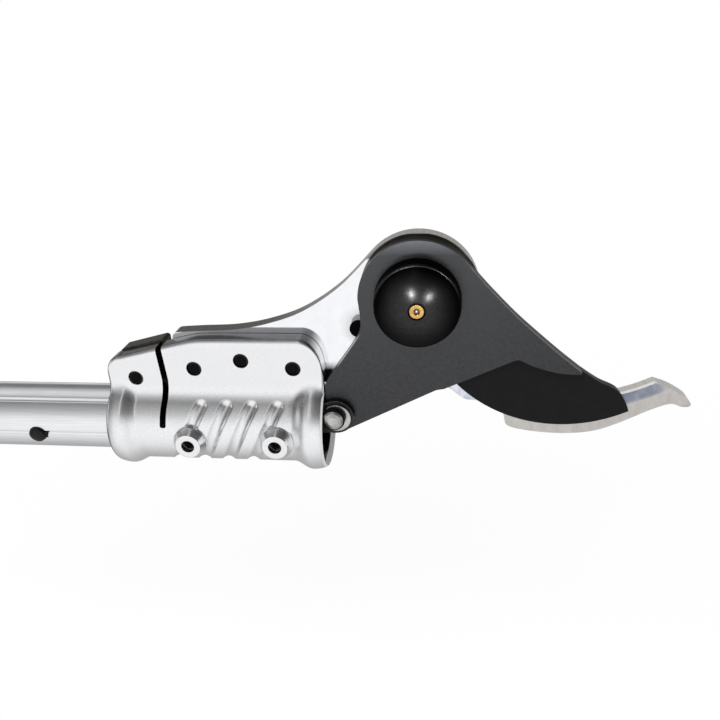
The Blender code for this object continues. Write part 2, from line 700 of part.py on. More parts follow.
def ball_oiler():
    """The brass oiler pressed into the cap, open in the middle for its ball."""
    seat = -LEVER_Y[0] + GAP + CAP_RIM + CAP_RISE
    profile = [(0, seat - 2.2), (1.3, seat - 2.2), (1.3, seat + 0.45), (1.6, seat + 0.7), (OILER_R - 0.3, seat + 0.7),
               (OILER_R, seat + 0.4), (OILER_R, seat - 3.8), (0, seat - 3.8)]
    return turned("ball_oiler", profile, (PIVOT[0], 0, PIVOT[1]), TO_FRONT, BRASS, steps=18)


def oiler_ball():
    seat = -LEVER_Y[0] + GAP + CAP_RIM + CAP_RISE
    radius = 1.0
    half_round = arc((0, seat - 0.6), radius, 90, -90, 8)
    return turned("oiler_ball", [(abs(r), h) if abs(r) > 1e-9 else (0, h) for r, h in half_round],
                  (PIVOT[0], 0, PIVOT[1]), TO_FRONT, STEEL, steps=12)


def pivot_washer():
    back = -PLATE_Y[1] - GAP
    profile = [(11.0, back), (11.0, back - 1.5), (BOLT_R + GAP, back - 1.5), (BOLT_R + GAP, back)]
    return turned("pivot_washer", profile, (PIVOT[0], 0, PIVOT[1]), TO_FRONT, STEEL, steps=24, ring=True)


def pivot_bolt():
    """The shank from the cap back through the plates, with a six-sided head."""
    under_head = -PLATE_Y[1] - GAP - 1.5 - GAP
    tip = -LEVER_Y[0] + GAP + 5.0
    profile = [(0, tip), (BOLT_R - 0.6, tip), (BOLT_R, tip - 0.6), (BOLT_R, under_head - 1.0), (0, under_head - 1.0)]
    bolt = turned("pivot_bolt", profile, (PIVOT[0], 0, PIVOT[1]), TO_FRONT, STEEL, steps=22)
    head = [(0, under_head), (8.6, under_head), (9.8, under_head - 0.5), (9.8, under_head - 4.4),
            (8.8, under_head - 5.0), (0, under_head - 5.0)]
    hexagon = turned("pivot_bolt_head", head, (PIVOT[0], 0, PIVOT[1]), TO_FRONT, None, steps=6, group=CUTTERS)
    boolean(bolt, hexagon, "UNION")
    return bolt


# Link between the lever and the rod

def link_side():
    """The link seen from the front: a round head on the drive pin, a tapering bar and a round tail."""
    lean = math.degrees(math.atan2(PIN[1] - TAIL[1], PIN[0] - TAIL[0]))
    head = arc(PIN, LINK_HEAD_R, lean - 92, lean + 92, 18)
    tail = arc(TAIL, LINK_TAIL_R, lean + 118, lean + 242, 12)
    axis = Vector((math.cos(math.radians(lean)), math.sin(math.radians(lean))))
    across = Vector((-axis.y, axis.x))
    upper = [(31.0, LINK_HEAD_R - 1.0), (26.5, LINK_BAR), (9.0, LINK_BAR)]
    above = [tuple(Vector(TAIL) + axis * along + across * height) for along, height in upper]
    below = [tuple(Vector(TAIL) + axis * along - across * height) for along, height in reversed(upper)]
    return head + above + tail + below


def drive_link():
    """A forked link: its jaws take the lever between them, and its tail is an eye in the rod's fork."""
    link = flat("drive_link", [link_side(), circle(TAIL, TAIL_EYE_R, 24), circle(PIN, PIN_R + 0.1, 24)],
                JAW_Y, BLACKED, PIN)
    front, rear = JAW_Y
    waist = 3.9
    spare = 3.0
    for side, outer in (("front", front), ("rear", rear)):
        sign = math.copysign(1, outer)
        plan = [(TAIL[0] - 12, outer + sign * spare), (TAIL[0] - 12, sign * waist), (166.5, sign * waist),
                (184.0, outer), (184.0, outer + sign * spare)]
        boolean(link, plan_cutter(f"link_waist_{side}", plan))
    boolean(link, box("link_slot", (FORK_SLOT_END, LEVER_Y[0] - GAP, -FAR), (FAR * 4, BLADE_Y[1] + GAP, FAR)))
    return link


def plan_cutter(name, outline):
    """A cutter with its outline in the XY plane, reaching right through in Z."""
    return loft(name, [[(x, y, z) for x, y in outline] for z in (-FAR, FAR)], None, CUTTERS)


def drive_pin():
    """A headed pin from behind, through the jaws and both plates, with a domed front end."""
    rear, front = -JAW_Y[1] - GAP, -JAW_Y[0]
    neck = front + 2.1
    dome = [(0, neck + 1.7), (1.8, neck + 1.65)] + arc_through((1.9, neck + 1.5), (3.0, neck + 0.95), (3.75, neck + 0.2), 3)[0]
    profile = dome + [(3.75, neck), (PIN_R - 0.2, neck), (PIN_R - 0.2, rear), (4.6, rear), (4.6, rear - 1.2), (4.2, rear - 1.6), (0, rear - 1.6)]
    return turned("drive_pin", profile, (PIN[0], 0, PIN[1]), TO_FRONT, STEEL, steps=16)


def pin_ring(name, low, high, outer, inner, material):
    """A flat ring round the drive pin, in front of the link."""
    profile = [(outer - 0.15, high), (outer, high - 0.15), (outer, low), (inner, low), (inner, high)]
    return turned(name, profile, (PIN[0], 0, PIN[1]), TO_FRONT, material, steps=20, ring=True)


# Rod and screw drive

def rod_fork():
    """The rod's front end: a round root, then two cheeks beside the link's tail."""
    start, end = FORK_X
    fork = along_pole("rod_fork", (start, end), 8.2, STEEL, steps=24)
    boolean(fork, box("fork_above", (start - 5, -20, 5.0), (end + 5, 20, 20)))
    boolean(fork, box("fork_below", (start - 5, -20, -20), (end + 5, 20, -5.0)))
    boolean(fork, box("fork_front", (start - 5, -20, -20), (end + 5, -6.8, 20)))
    boolean(fork, box("fork_back", (start - 5, 6.8, -20), (end + 5, 20, 20)))
    boolean(fork, box("fork_slot", (148.0, -4.2, -20), (end + 5, 4.2, 20)))
    boolean(fork, cross_hole("fork_pin_hole", TAIL, TAIL_PIN_R + 0.1, steps=16))
    return fork


def rod_end_pin():
    profile = [(0, 7.6), (TAIL_PIN_R - 0.3, 7.6), (TAIL_PIN_R, 7.3), (TAIL_PIN_R, -7.3), (TAIL_PIN_R - 0.3, -7.6), (0, -7.6)]
    return turned("rod_end_pin", profile, (TAIL[0], 0, TAIL[1]), TO_FRONT, STEEL, steps=16)


def ball_screw():
    """The screw, with a shoulder and a journal that runs in the bearing and ends in the coupling."""
    end = TUBE_X[1] - 1.5
    profile = [(0, end), (SCREW_R - 0.5, end), (SCREW_R, end - 0.5), (SCREW_R, 93.0), (JOURNAL_R, 93.0),
               (JOURNAL_R, 77.5), (0, 77.5)]
    return turned("ball_screw", profile, (0, 0, 0), ALONG_X, STEEL, steps=20)


def bearing_holder():
    start, end = BEARING_X
    outer = POLE_BORE - GAP
    profile = [(outer, end), (outer, start), (5.2, start), (5.2, start + 1.2), (8.3, start + 1.2), (8.3, end)]
    return turned("bearing_holder", profile, (0, 0, 0), ALONG_X, STEEL, steps=18, ring=True)


def ball_bearing():
    """The bearing that takes the screw's thrust, with the groove between its rings."""
    start, end = BEARING_X[0] + 1.5, BEARING_X[1] - 0.3
    profile = [(8.0, end), (8.0, start), (6.9, start), (6.9, start + 0.8), (4.4, start + 0.8), (4.4, start),
               (JOURNAL_R + GAP, start), (JOURNAL_R + GAP, end), (4.4, end), (4.4, end - 0.8), (6.9, end - 0.8), (6.9, end)]
    return turned("ball_bearing", profile, (0, 0, 0), ALONG_X, STEEL, steps=12, ring=True)


def shaft_coupling():
    start, end = COUPLING_X
    middle = (start + end) / 2
    bore = JOURNAL_R + GAP
    profile = [(0, middle + 0.6), (bore, middle + 0.6), (bore, end), (5.9, end), (6.4, end - 0.5), (6.4, start + 0.5),
               (5.9, start), (bore, start), (bore, middle - 0.6), (0, middle - 0.6)]
    return turned("shaft_coupling", profile, (0, 0, 0), ALONG_X, STEEL, steps=16)


def gearbox_shaft():
    return along_pole("gearbox_shaft", (66.5, 75.0), JOURNAL_R, STEEL, steps=16)


def gearbox():
    start, end = GEARBOX_X
    profile = [(0, 66.0), (JOURNAL_R + GAP, 66.0), (JOURNAL_R + GAP, end), (5.0, end), (5.0, end - 1.0), (10.4, end - 1.0),
               (DRIVE_R, end - 1.6), (DRIVE_R, start), (0, start)]
    return turned("gearbox", profile, (0, 0, 0), ALONG_X, STEEL, steps=18)


def drive_motor():
    start, end = MOTOR_X
    profile = [(0, end), (DRIVE_R - 0.2, end), (DRIVE_R - 0.2, end - 2.0), (DRIVE_R - 0.7, end - 2.6),
               (DRIVE_R - 0.7, start + 4.5), (DRIVE_R - 0.2, start + 4.0), (DRIVE_R - 0.2, start + 0.6),
               (DRIVE_R - 0.8, start), (4.0, start), (4.0, start - 1.2), (0, start - 1.2)]
    return turned("drive_motor", profile, (0, 0, 0), ALONG_X, BLACKED, steps=18)


def build():
    pole_tube()
    lock_button()
    pole_socket()
    socket_spacer()
    for number, centre in enumerate(RIVETS, 1):
        frame_rivet(number, centre)
    for number, centre in enumerate(BOSSES, 1):
        set_screw(number, centre)
    hook_plate()
    bump_stop()
    lever_plate()
    cutting_blade()
    for make in (pivot_bush, pivot_cap, ball_oiler, oiler_ball, pivot_washer, pivot_bolt):
        make()
    drive_link()
    drive_pin()
    jaw = -JAW_Y[0]
    pin_ring("pin_washer", jaw + GAP, jaw + 0.95, 5.6, PIN_R + 0.1, STEEL)
    pin_ring("pin_circlip", jaw + 1.2, jaw + 1.85, 4.4, PIN_R + 0.1, BLACKED)
    rod_fork()
    rod_end_pin()
    along_pole("push_tube", TUBE_X, ROD_R, STEEL, ROD_BORE)
    along_pole("ball_nut", NUT_X, ROD_R, STEEL, SCREW_R + GAP)
    along_pole("rod_bush", BUSH_X, POLE_BORE - GAP, BUSH_PLASTIC, ROD_R + GAP, steps=18)
    for make in (ball_screw, bearing_holder, ball_bearing, shaft_coupling, gearbox_shaft, gearbox, drive_motor):
        make()


build()
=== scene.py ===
# %% [markdown]
# # The cutting head of an electric pole pruner
#
# A cast aluminium socket is clamped on a fluted aluminium pole. It holds a polished steel hook plate, and in
# front of that a dark lever with a black blade turns on a large domed pivot. A link in the socket's mouth
# pulls the lever. The CAD model gives every piece its place and size. This lesson dresses it: finer meshes
# where a curve or a casting needs them, and a material for every finish.

import math

import bmesh
import bpy
import numpy as np
from mathutils import Matrix, Vector


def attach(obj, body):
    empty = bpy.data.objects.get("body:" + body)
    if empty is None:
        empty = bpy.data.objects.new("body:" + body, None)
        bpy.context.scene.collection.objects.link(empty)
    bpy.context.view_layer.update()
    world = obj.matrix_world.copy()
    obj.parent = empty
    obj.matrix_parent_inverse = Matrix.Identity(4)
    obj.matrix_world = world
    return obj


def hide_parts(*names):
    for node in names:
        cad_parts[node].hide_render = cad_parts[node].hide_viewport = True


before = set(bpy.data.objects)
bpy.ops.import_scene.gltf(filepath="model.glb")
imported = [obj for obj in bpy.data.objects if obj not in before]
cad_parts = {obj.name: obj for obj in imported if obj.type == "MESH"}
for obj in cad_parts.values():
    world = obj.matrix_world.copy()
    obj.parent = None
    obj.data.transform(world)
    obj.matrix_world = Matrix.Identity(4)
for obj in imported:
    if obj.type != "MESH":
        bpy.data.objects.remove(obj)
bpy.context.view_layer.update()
MM = 0.001

# %% [markdown]
# ## Camera and studio
#
# The photograph looks down on the head at about 25 degrees, a little from the right, through a moderate wide
# lens. The three directions below are the camera's own right, up and forward.

# %% Camera
CAMERA_PLACE = Vector((233.1886, -228.9597, 134.8532)) * MM
CAMERA_RIGHT = Vector((0.993730, 0.105534, -0.036923))
CAMERA_UP = Vector((-0.011843, 0.427738, 0.903825))
CAMERA_AHEAD = Vector((-0.111178, 0.897721, -0.426306))

camera_data = bpy.data.cameras.new("camera")
camera_data.sensor_width = 36.0
camera_data.lens = 34.0
camera_data.clip_start = 0.01
camera = bpy.data.objects.new("camera", camera_data)
bpy.context.scene.collection.objects.link(camera)
camera.matrix_world = Matrix((CAMERA_RIGHT, CAMERA_UP, -CAMERA_AHEAD)).transposed().to_4x4()
camera.matrix_world.translation = CAMERA_PLACE
bpy.context.scene.camera = camera
bpy.context.scene.view_settings.view_transform = "Standard"
print("lens", camera_data.lens, "mm")

# %% [markdown]
# Two small helpers carry the rest of the lesson. One turns an sRGB hex colour to the linear numbers that the
# renderer wants. The other adds a node, sets it and links it in one line: its kind and settings are given in
# words, and then what its inputs get, in their order or by name.

# %% Colour and node helpers
SETTINGS = {"Math": ["operation"], "VectorMath": ["operation"], "Mix": ["data_type", "blend_type"]}


def linear(code):
    """An sRGB colour such as "8a8c90" as linear red, green, blue and alpha."""
    parts = [int(code[i:i + 2], 16) / 255 for i in (0, 2, 4)]
    return tuple(c / 12.92 if c <= 0.04045 else ((c + 0.055) / 1.055) ** 2.4 for c in parts) + (1.0,)


def feed(tree, node, *values, **named):
    """Gives a node's inputs a number, an sRGB hex colour, or another node or output, which is linked."""
    sockets = [socket for socket in node.inputs if socket.enabled][:len(values)]
    sockets += [node.inputs[name.replace("_", " ")] for name in named]
    for socket, value in zip(sockets, (*values, *named.values())):
        if isinstance(value, bpy.types.Node):
            value = next(output for output in value.outputs if output.enabled)
        if isinstance(value, bpy.types.NodeSocket):
            tree.links.new(value, socket)
        else:
            socket.default_value = linear(value) if isinstance(value, str) else value
    return node


def add(tree, words, *values, stops=(), **named):
    """Adds one node, such as add(tree, "Math MULTIPLY", first, second)."""
    kind, *settings = words.split()
    node = tree.nodes.new("ShaderNode" + kind)
    for name, setting in zip(SETTINGS.get(kind, ()), settings):
        setattr(node, name, setting)
    for i, (place, level) in enumerate(stops):
        element = node.color_ramp.elements[i] if i < 2 else node.color_ramp.elements.new(1.0)
        element.position, element.color = place, grey(level)
    return feed(tree, node, *values, **named)


def grey(level):
    return (level, level, level, 1.0)


print("mid grey 808080 is", round(linear("808080")[0], 3), "in linear light")

# %% [markdown]
# Polished metal shows its surroundings, so the studio matters as much as the material. The background is
# white, and round the head stands a light tent, as product photographers use for metal: bright in front,
# dim overhead, at the sides and high at the back. Only reflections see it. It is a long tube about the pole's
# direction, and its brightness changes with the angle round that tube and with the distance along it.

# %% World
SOFT_LIGHT = 0.7
world = bpy.data.worlds.new("studio")
bpy.context.scene.world = world
world.use_nodes = True
tree = world.node_tree
tree.nodes.clear()
ray = add(tree, "LightPath").outputs
seen = add(tree, "Math MAXIMUM", ray["Is Camera Ray"], ray["Is Glossy Ray"])
seen = add(tree, "Math MAXIMUM", seen, ray["Is Transmission Ray"])
white = add(tree, "Background", Color=grey(1.0), Strength=1.0)
soft = add(tree, "Background", Color=grey(1.0), Strength=SOFT_LIGHT)
add(tree, "OutputWorld", Surface=add(tree, "MixShader", seen, soft, white))
print("world strength for soft light:", SOFT_LIGHT)

# %% Light tent
TENT_RADIUS, TENT_HALF = 3.0, 9.0
HEAD_MIDDLE = 0.18      # metres along the pole
# Brightness by the angle round the tube: 0 is straight in front, 90 is overhead.
TENT_LEVELS = ((-180, 0.8), (-160, 0.8), (-125, 0.42), (-100, 0.5), (-82, 0.62), (-62, 0.82), (-45, 0.93),
               (-15, 1.0), (4, 0.99), (18, 0.88), (28, 0.68), (40, 0.49), (52, 0.38), (64, 0.30), (76, 0.2),
               (88, 0.22), (98, 0.72), (112, 0.82), (124, 0.6), (138, 0.26), (150, 0.17), (163, 0.17),
               (171, 0.6), (180, 0.8))
# Brightness by the angle to the left (below 0) and right, low down and higher up.
TENT_ASIDE = ((-90, 0.3), (-68, 0.3), (-58, 0.45), (-47, 0.85), (-38, 1.0), (24, 1.0), (38, 0.75), (54, 0.4),
              (70, 0.3), (90, 0.3))
TENT_ASIDE_HIGH = ((-90, 0.25), (-66, 0.3), (-54, 0.5), (-45, 0.95), (-38, 1.0), (-12, 1.0), (-1, 0.66),
                   (12, 0.42), (30, 0.34), (90, 0.28))
# One strip more, by both angles, lights the hook's chamfer.
TENT_STRIP = ((-90, 0.0), (-10, 0.0), (-7.5, 1.0), (-3, 1.0), (0, 0.0), (90, 0.0))
TENT_STRIP_HIGH = ((-180, 0.0), (24, 0.0), (34, 0.62), (80, 0.62), (92, 0.0), (180, 0.0))


def by_angle(tree, angle, reach, levels):
    """A brightness read from a list of (angle in degrees, level) that runs from -reach to reach."""
    share = add(tree, "MapRange", angle, math.radians(-reach), math.radians(reach))
    return add(tree, "ValToRGB", share, stops=[((turn + reach) / (2 * reach), level) for turn, level in levels])


def tent_cloth():
    """A cloth that glows by its direction as seen from the head."""
    made = bpy.data.materials.new("tent_cloth")
    made.use_nodes = True
    tree = made.node_tree
    tree.nodes.clear()
    place = add(tree, "SeparateXYZ", add(tree, "TexCoord").outputs["Object"]).outputs
    height = add(tree, "Math ARCTAN2", place["Z"], add(tree, "Math MULTIPLY", place["Y"], -1.0))
    along = add(tree, "Math ARCTAN2", place["X"], TENT_RADIUS)
    low = by_angle(tree, along, 90, TENT_ASIDE)
    high = by_angle(tree, along, 90, TENT_ASIDE_HIGH)
    rise = add(tree, "MapRange", height, math.radians(8), math.radians(36))
    aside = add(tree, "Mix RGBA", rise, low, high)
    glow = add(tree, "Mix RGBA MULTIPLY", 1.0, by_angle(tree, height, 180, TENT_LEVELS), aside)
    strip = add(tree, "Mix RGBA MULTIPLY", 1.0, by_angle(tree, along, 90, TENT_STRIP),
                by_angle(tree, height, 180, TENT_STRIP_HIGH))
    glow = add(tree, "Mix RGBA ADD", 1.0, glow, strip)
    add(tree, "OutputMaterial", Surface=add(tree, "Emission", Color=glow, Strength=1.0))
    return made


def light_tent():
    work = bmesh.new()
    bmesh.ops.create_cone(work, segments=64, radius1=TENT_RADIUS, radius2=TENT_RADIUS, depth=2 * TENT_HALF,
                          cap_ends=False)
    bmesh.ops.rotate(work, verts=work.verts, matrix=Matrix.Rotation(math.radians(90), 3, "Y"))
    mesh = bpy.data.meshes.new("light_tent")
    work.to_mesh(mesh)
    work.free()
    tent = bpy.data.objects.new("light_tent", mesh)
    bpy.context.scene.collection.objects.link(tent)
    tent.location = (HEAD_MIDDLE, 0.0, 0.0)
    tent.visible_camera = tent.visible_diffuse = tent.visible_shadow = False
    tent.visible_transmission = tent.visible_volume_scatter = False
    mesh.materials.append(tent_cloth())


light_tent()
print("tent levels:", len(TENT_LEVELS), "round it,", len(TENT_ASIDE), "and", len(TENT_ASIDE_HIGH), "along it")

# %% [markdown]
# The floor is plain and white. It lies well under the head, so that the head's shadow on it stays wide and
# faint. A large softbox above the camera gives soft light only. Two small lamps in front put the highlights on
# the dark dome, and a weak strip from below gives the lever its sheen.

# %% Floor
FLOOR_Z, FLOOR_REACH = -0.16, 30.0


def white_paper():
    """Paper that the camera sees with its shadow, a little brighter far from the head."""
    made = bpy.data.materials.new("white_paper")
    made.use_nodes = True
    tree = made.node_tree
    tree.nodes.clear()
    off = add(tree, "VectorMath LENGTH", add(tree, "TexCoord").outputs["Object"])
    lit = add(tree, "Emission", Color=grey(1.0), Strength=add(tree, "MapRange", off, 0.3, 1.8, 0.8, 0.9))
    shown = add(tree, "AddShader", add(tree, "BsdfDiffuse", Color=grey(0.22)), lit)
    paper = add(tree, "BsdfDiffuse", Color=grey(0.9))
    seen = add(tree, "LightPath").outputs["Is Camera Ray"]
    add(tree, "OutputMaterial", Surface=add(tree, "MixShader", seen, paper, shown))
    return made


def floor():
    mesh = bpy.data.meshes.new("floor")
    corners = [(x * FLOOR_REACH, y * FLOOR_REACH, 0) for x, y in ((-1, -1), (1, -1), (1, 1), (-1, 1))]
    mesh.from_pydata(corners, [], [(0, 1, 2, 3)])
    plane = bpy.data.objects.new("floor", mesh)
    bpy.context.scene.collection.objects.link(plane)
    plane.location = (HEAD_MIDDLE, 0.0, FLOOR_Z)
    plane.visible_glossy = False
    mesh.materials.append(white_paper())


floor()
print("floor at", FLOOR_Z, "m")

# %% Lamps
LAMPS_AIM = Vector((0.2, 0.0, 0.03))


def lamp(name, direction, distance, size, glow, glossy=True):
    """An area lamp at (azimuth, elevation) in degrees from the front, with its brightness as `glow`."""
    azimuth, elevation = (math.radians(v) for v in direction)
    level = math.cos(elevation)
    way = Vector((math.sin(azimuth) * level, -math.cos(azimuth) * level, math.sin(elevation)))
    light = bpy.data.lights.new(name, "AREA")
    light.shape = "RECTANGLE"
    light.size, light.size_y = size
    light.energy = glow * math.pi * size[0] * size[1]
    item = bpy.data.objects.new(name, light)
    bpy.context.scene.collection.objects.link(item)
    item.location = LAMPS_AIM + way * distance
    item.rotation_euler = (-way).to_track_quat("-Z", "Y").to_euler()
    item.visible_glossy = glossy
    return item


lamp("softbox_over_camera", (-14, 52), 1.5, (1.0, 0.8), 3.2, glossy=False)
DOME_LAMPS = [lamp("small_lamp_left", (-9.5, 10.4), 1.6, (0.08, 0.1), 270.0),
              lamp("small_lamp_right", (19.7, 5.0), 1.6, (0.08, 0.14), 150.0)]
SHEEN_LAMP = lamp("strip_light_low", (-4.0, -11.0), 0.6, (0.4, 0.06), 9.0)
SHEEN_LAMP.data.color = linear("f2f4fb")[:3]
print("lamps:", len(bpy.data.lights))

# %% [markdown]
# ## Finishes
#
# Each finish starts from a real one. Positions in a material are the CAD frame's own metres, so a pattern's
# scale is one over its size in metres.

# %% Material start
MIDDLE = (0.3, 0.7)      # nearly all of a noise's values lie between these


def finish(name, colour, roughness, metallic=0.0, **more):
    """A new material, its node tree and its Principled shader."""
    made = bpy.data.materials.new(name)
    made.use_nodes = True
    shader = made.node_tree.nodes["Principled BSDF"]
    feed(made.node_tree, shader, Base_Color=colour, Roughness=roughness, Metallic=metallic, **more)
    return made, made.node_tree, shader


def place_of(tree, stretch=(1.0, 1.0, 1.0)):
    """Position in the part's own frame, stretched where a pattern runs along the piece."""
    return add(tree, "Mapping", add(tree, "TexCoord").outputs["Object"], Scale=stretch)


def spots(tree, size_mm, detail=2.0, roughness=0.5, stretch=(1.0, 1.0, 1.0)):
    """A cloudy pattern from 0 to 1, with spots of a real size, that stays fixed to the piece."""
    return add(tree, "TexNoise", place_of(tree, stretch), 1.0 / (size_mm * MM), detail, roughness)


def shades(tree, pattern, dark, light):
    """Two colours of one finish, mixed by a cloudy pattern."""
    return add(tree, "Mix RGBA", add(tree, "MapRange", pattern, *MIDDLE), dark, light)


print("a noise is read from", MIDDLE[0], "to", MIDDLE[1])

# %% [markdown]
# Wear, oil and scale keep to certain places. Such a place is a mask, which is 1 inside and 0 outside. A
# coordinate, a distance or the surface's own direction tells it, and masks are multiplied where all have to hold.

# %% Masks by place
PIVOT, STOP = (226.6, 52.9), (205.2, 40.5)      # x and z of the pivot's and the bump stop's axes


def axis_of(tree, axis):
    """One coordinate of the piece's own place, in metres."""
    return add(tree, "SeparateXYZ", add(tree, "TexCoord").outputs["Object"]).outputs[axis]


def distance_from(tree, centre):
    """How far a place is from an axis along Y, in metres."""
    off = add(tree, "VectorMath SUBTRACT", place_of(tree, (1, 0, 1)), (centre[0] * MM, 0, centre[1] * MM))
    return add(tree, "VectorMath LENGTH", off)


def facing(tree, axis, none, full, either_way=False):
    """How far the surface turns to one side, or to either side, of an axis."""
    part = add(tree, "SeparateXYZ", add(tree, "NewGeometry").outputs["Normal"]).outputs[axis]
    if either_way:
        part = add(tree, "Math ABSOLUTE", part)
    return add(tree, "MapRange", part, none, full)


def edge_share(tree, none=0.9, full=0.6):
    """1 on a plate's edges and 0 on its two faces."""
    return facing(tree, "Y", none, full, either_way=True)


def region(tree, *parts):
    """Where all parts hold. A part is a mask, or an axis or distance with the millimetres where it is 0 and 1."""
    share = None
    for part in parts:
        if isinstance(part, tuple):
            what, none_mm, full_mm = part
            what = axis_of(tree, what) if isinstance(what, str) else what
            part = add(tree, "MapRange", what, none_mm * MM, full_mm * MM)
        share = part if share is None else add(tree, "Math MULTIPLY", share, part)
    return share


print("pivot at x, z", PIVOT, "mm, bump stop at", STOP, "mm")

# %% [markdown]
# The pole is extruded aluminium with a clear satin finish. Drawing it through the die leaves fine lines along
# its length, so the noise is stretched about 60 times along X.

# %% Extruded aluminium


def extruded_aluminium():
    made, tree, shader = finish("extruded_aluminium_satin", "e6e8eb", 0.2, 1.0)
    lines = spots(tree, 0.35, 3.0, 0.6, (0.017, 1.0, 1.0))
    cloud = spots(tree, 9.0)
    # Painted shade: under the socket's slit the tube is drawn dark.
    shade_under_slit = region(tree, ("X", 126.0, 127.0), ("X", 134.0, 133.0))
    skin = add(tree, "Mix RGBA", shade_under_slit, shades(tree, lines, "e6e8ea", "f6f7f9"), "2c2c2e")
    feed(tree, shader, Base_Color=skin, Roughness=add(tree, "MapRange", cloud, *MIDDLE, 0.17, 0.25),
         Normal=add(tree, "Bump", Strength=0.5, Distance=0.004 * MM, Height=lines))
    return made


FINISHES = {"extruded_aluminium": extruded_aluminium()}
print("finish:", *FINISHES)

# %% [markdown]
# The socket is a pressure casting, tumbled or blasted fine afterwards. Its skin is even and satin with a fine
# speckle, about a fifth of a millimetre, drawn a little coarser here so that it shows. Painted shade blackens
# the bore behind the mouth's rim and the slit's walls.

# %% Cast aluminium
SLIT_MIDDLE = 130.45


def bore_shade(tree, off_axis, outward):
    """Where painted shade blackens the bore's wall, which faces the axis, apart from its lowest part just behind the
    rim.
    """
    inward = add(tree, "VectorMath DOT_PRODUCT", outward, add(tree, "NewGeometry").outputs["Normal"])
    deeper = add(tree, "Math MAXIMUM", region(tree, ("Z", -17.0, -16.2)), region(tree, ("X", 182.0, 180.0)))
    return region(tree, (off_axis, 17.1, 16.9), ("X", 190.1, 189.9), (inward, 0.0, -0.5), deeper)


def slit_wall_shade(tree):
    """Surfaces in the slit that face along the pole, where painted shade goes."""
    beside = add(tree, "Math ABSOLUTE", add(tree, "Math SUBTRACT", axis_of(tree, "X"), SLIT_MIDDLE * MM))
    return region(tree, facing(tree, "X", 0.6, 0.8, either_way=True), (beside, 3.0, 2.2), ("Z", 3.0, 3.4))


def cast_aluminium():
    made, tree, shader = finish("cast_aluminium_blasted", "f4f5f6", 0.24, 1.0)
    speckle = spots(tree, 0.45, 3.0, 0.65)
    cloud = spots(tree, 6.0, 3.0)
    outward = place_of(tree, (0, 1, 1))
    off_axis = add(tree, "VectorMath LENGTH", outward)
    # Painted shade: the flanges' tops are drawn a darker grey.
    apart = add(tree, "Math MAXIMUM", region(tree, ("X", 188.0, 185.0)), region(tree, ("Z", 32.0, 36.0)))
    flange_top_shade = region(tree, edge_share(tree, 0.75, 0.45), ("Z", 21.0, 23.0), apart)
    skin = add(tree, "Mix RGBA", flange_top_shade, shades(tree, speckle, "e9eaec", "fafafb"),
               shades(tree, cloud, "747476", "8c8c8e"))
    # Painted shade: the socket's left end face is drawn dark.
    left_end = region(tree, facing(tree, "X", -0.35, -0.7), ("X", 110.2, 109.6))
    skin = add(tree, "Mix RGBA", left_end, skin, "48484a")
    # The mouth's lip is blasted coarser, so it is less bright as a metal.
    lip = region(tree, ("X", 189.95, 190.05), (off_axis, 18.5, 18.3))
    skin = add(tree, "Mix RGBA", region(tree, lip, ("Z", 0.0, -4.0)), skin, "eeeeee")
    # Painted shade: the bore's wall and the slit's walls are drawn near-black.
    dark = add(tree, "Math MAXIMUM", bore_shade(tree, off_axis, outward), slit_wall_shade(tree))
    satin = add(tree, "MapRange", cloud, *MIDDLE, 0.21, 0.29)
    feed(tree, shader, Base_Color=add(tree, "Mix RGBA", dark, skin, "0c0c0c"),
         Roughness=add(tree, "Mix FLOAT", lip, satin, 0.55), Metallic=add(tree, "Mix FLOAT", lip, 1.0, 0.2),
         Normal=add(tree, "Bump", Strength=0.6, Distance=0.012 * MM, Height=speckle))
    return made


FINISHES["cast_aluminium"] = cast_aluminium()
print("finishes:", len(FINISHES))

# %% [markdown]
# The hook plate is cut from 6 mm steel and polished bright on its faces. Towards the hook the face is only
# ground, so it is greyer there, and the bevel on the hook's inner edge is blue-grey. The cut edges stay dull
# and a little brown, with fine lines across the plate; painted shade darkens them near the socket, and a
# painted highlight lies on the chamfer over the bevel. The face has painted shade beside the lever. The surface
# normal tells these places apart.

# %% Polished plate
HONED_SLOPE, HONED_TO = 0.394, -104.95    # the line along the bevel's top: z - slope * x, in millimetres
BARE_EDGE = 0.25                          # the dull edges answer light only in part as a metal


def polished_face(tree, stain, hook, honed):
    """The mirror face with its stains and painted shade, and the ground hook with its bevel."""
    mirror = shades(tree, spots(tree, 5.0, 3.0), "f3f5f9", "fafbfd")
    face = add(tree, "Mix RGBA", hook, mirror, shades(tree, stain, "c3bfbb", "d3d0cd"))
    # Painted shade: the corner between the socket's end and the lever is drawn near-black.
    corner = region(tree, ("X", 184.0, 188.0), ("X", 201.0, 194.0), ("Z", 26.0, 22.5))
    face = add(tree, "Mix RGBA", corner, face, "0b0b0c")
    # Sap has dried on the face beside the throat, in blue-grey veins.
    throat = region(tree, ("X", 233.0, 236.0), ("X", 254.0, 250.0), ("Z", 19.0, 17.5))
    face = add(tree, "Mix RGBA", throat, face, shades(tree, stain, "b4bccb", "eef2f9"))
    # Painted shade round the head: the face's rim in the gap beside the lever is drawn grey.
    out = distance_from(tree, PIVOT)
    right = region(tree, ("X", 236.0, 238.0), ("Z", 56.0, 58.0))
    head = add(tree, "Math MAXIMUM", region(tree, ("Z", 65.0, 66.0)), right)
    face = add(tree, "Mix RGBA", region(tree, (out, 20.6, 20.9), (out, 23.5, 23.0), head), face, "7c7975")
    # The bevel is blue-grey, and paler at its foot.
    foot = region(tree, (honed, HONED_TO - 3.6, HONED_TO - 4.8))
    blue = add(tree, "Mix RGBA", foot, shades(tree, stain, "888c9e", "aaaeb8"), "bcbab9")
    bevel = region(tree, facing(tree, "Z", -0.1, -0.04), ("Y", -0.99, -0.95), ("X", 258.0, 259.0),
                   ("X", 317.0, 313.0))
    return add(tree, "Mix RGBA", bevel, face, blue)


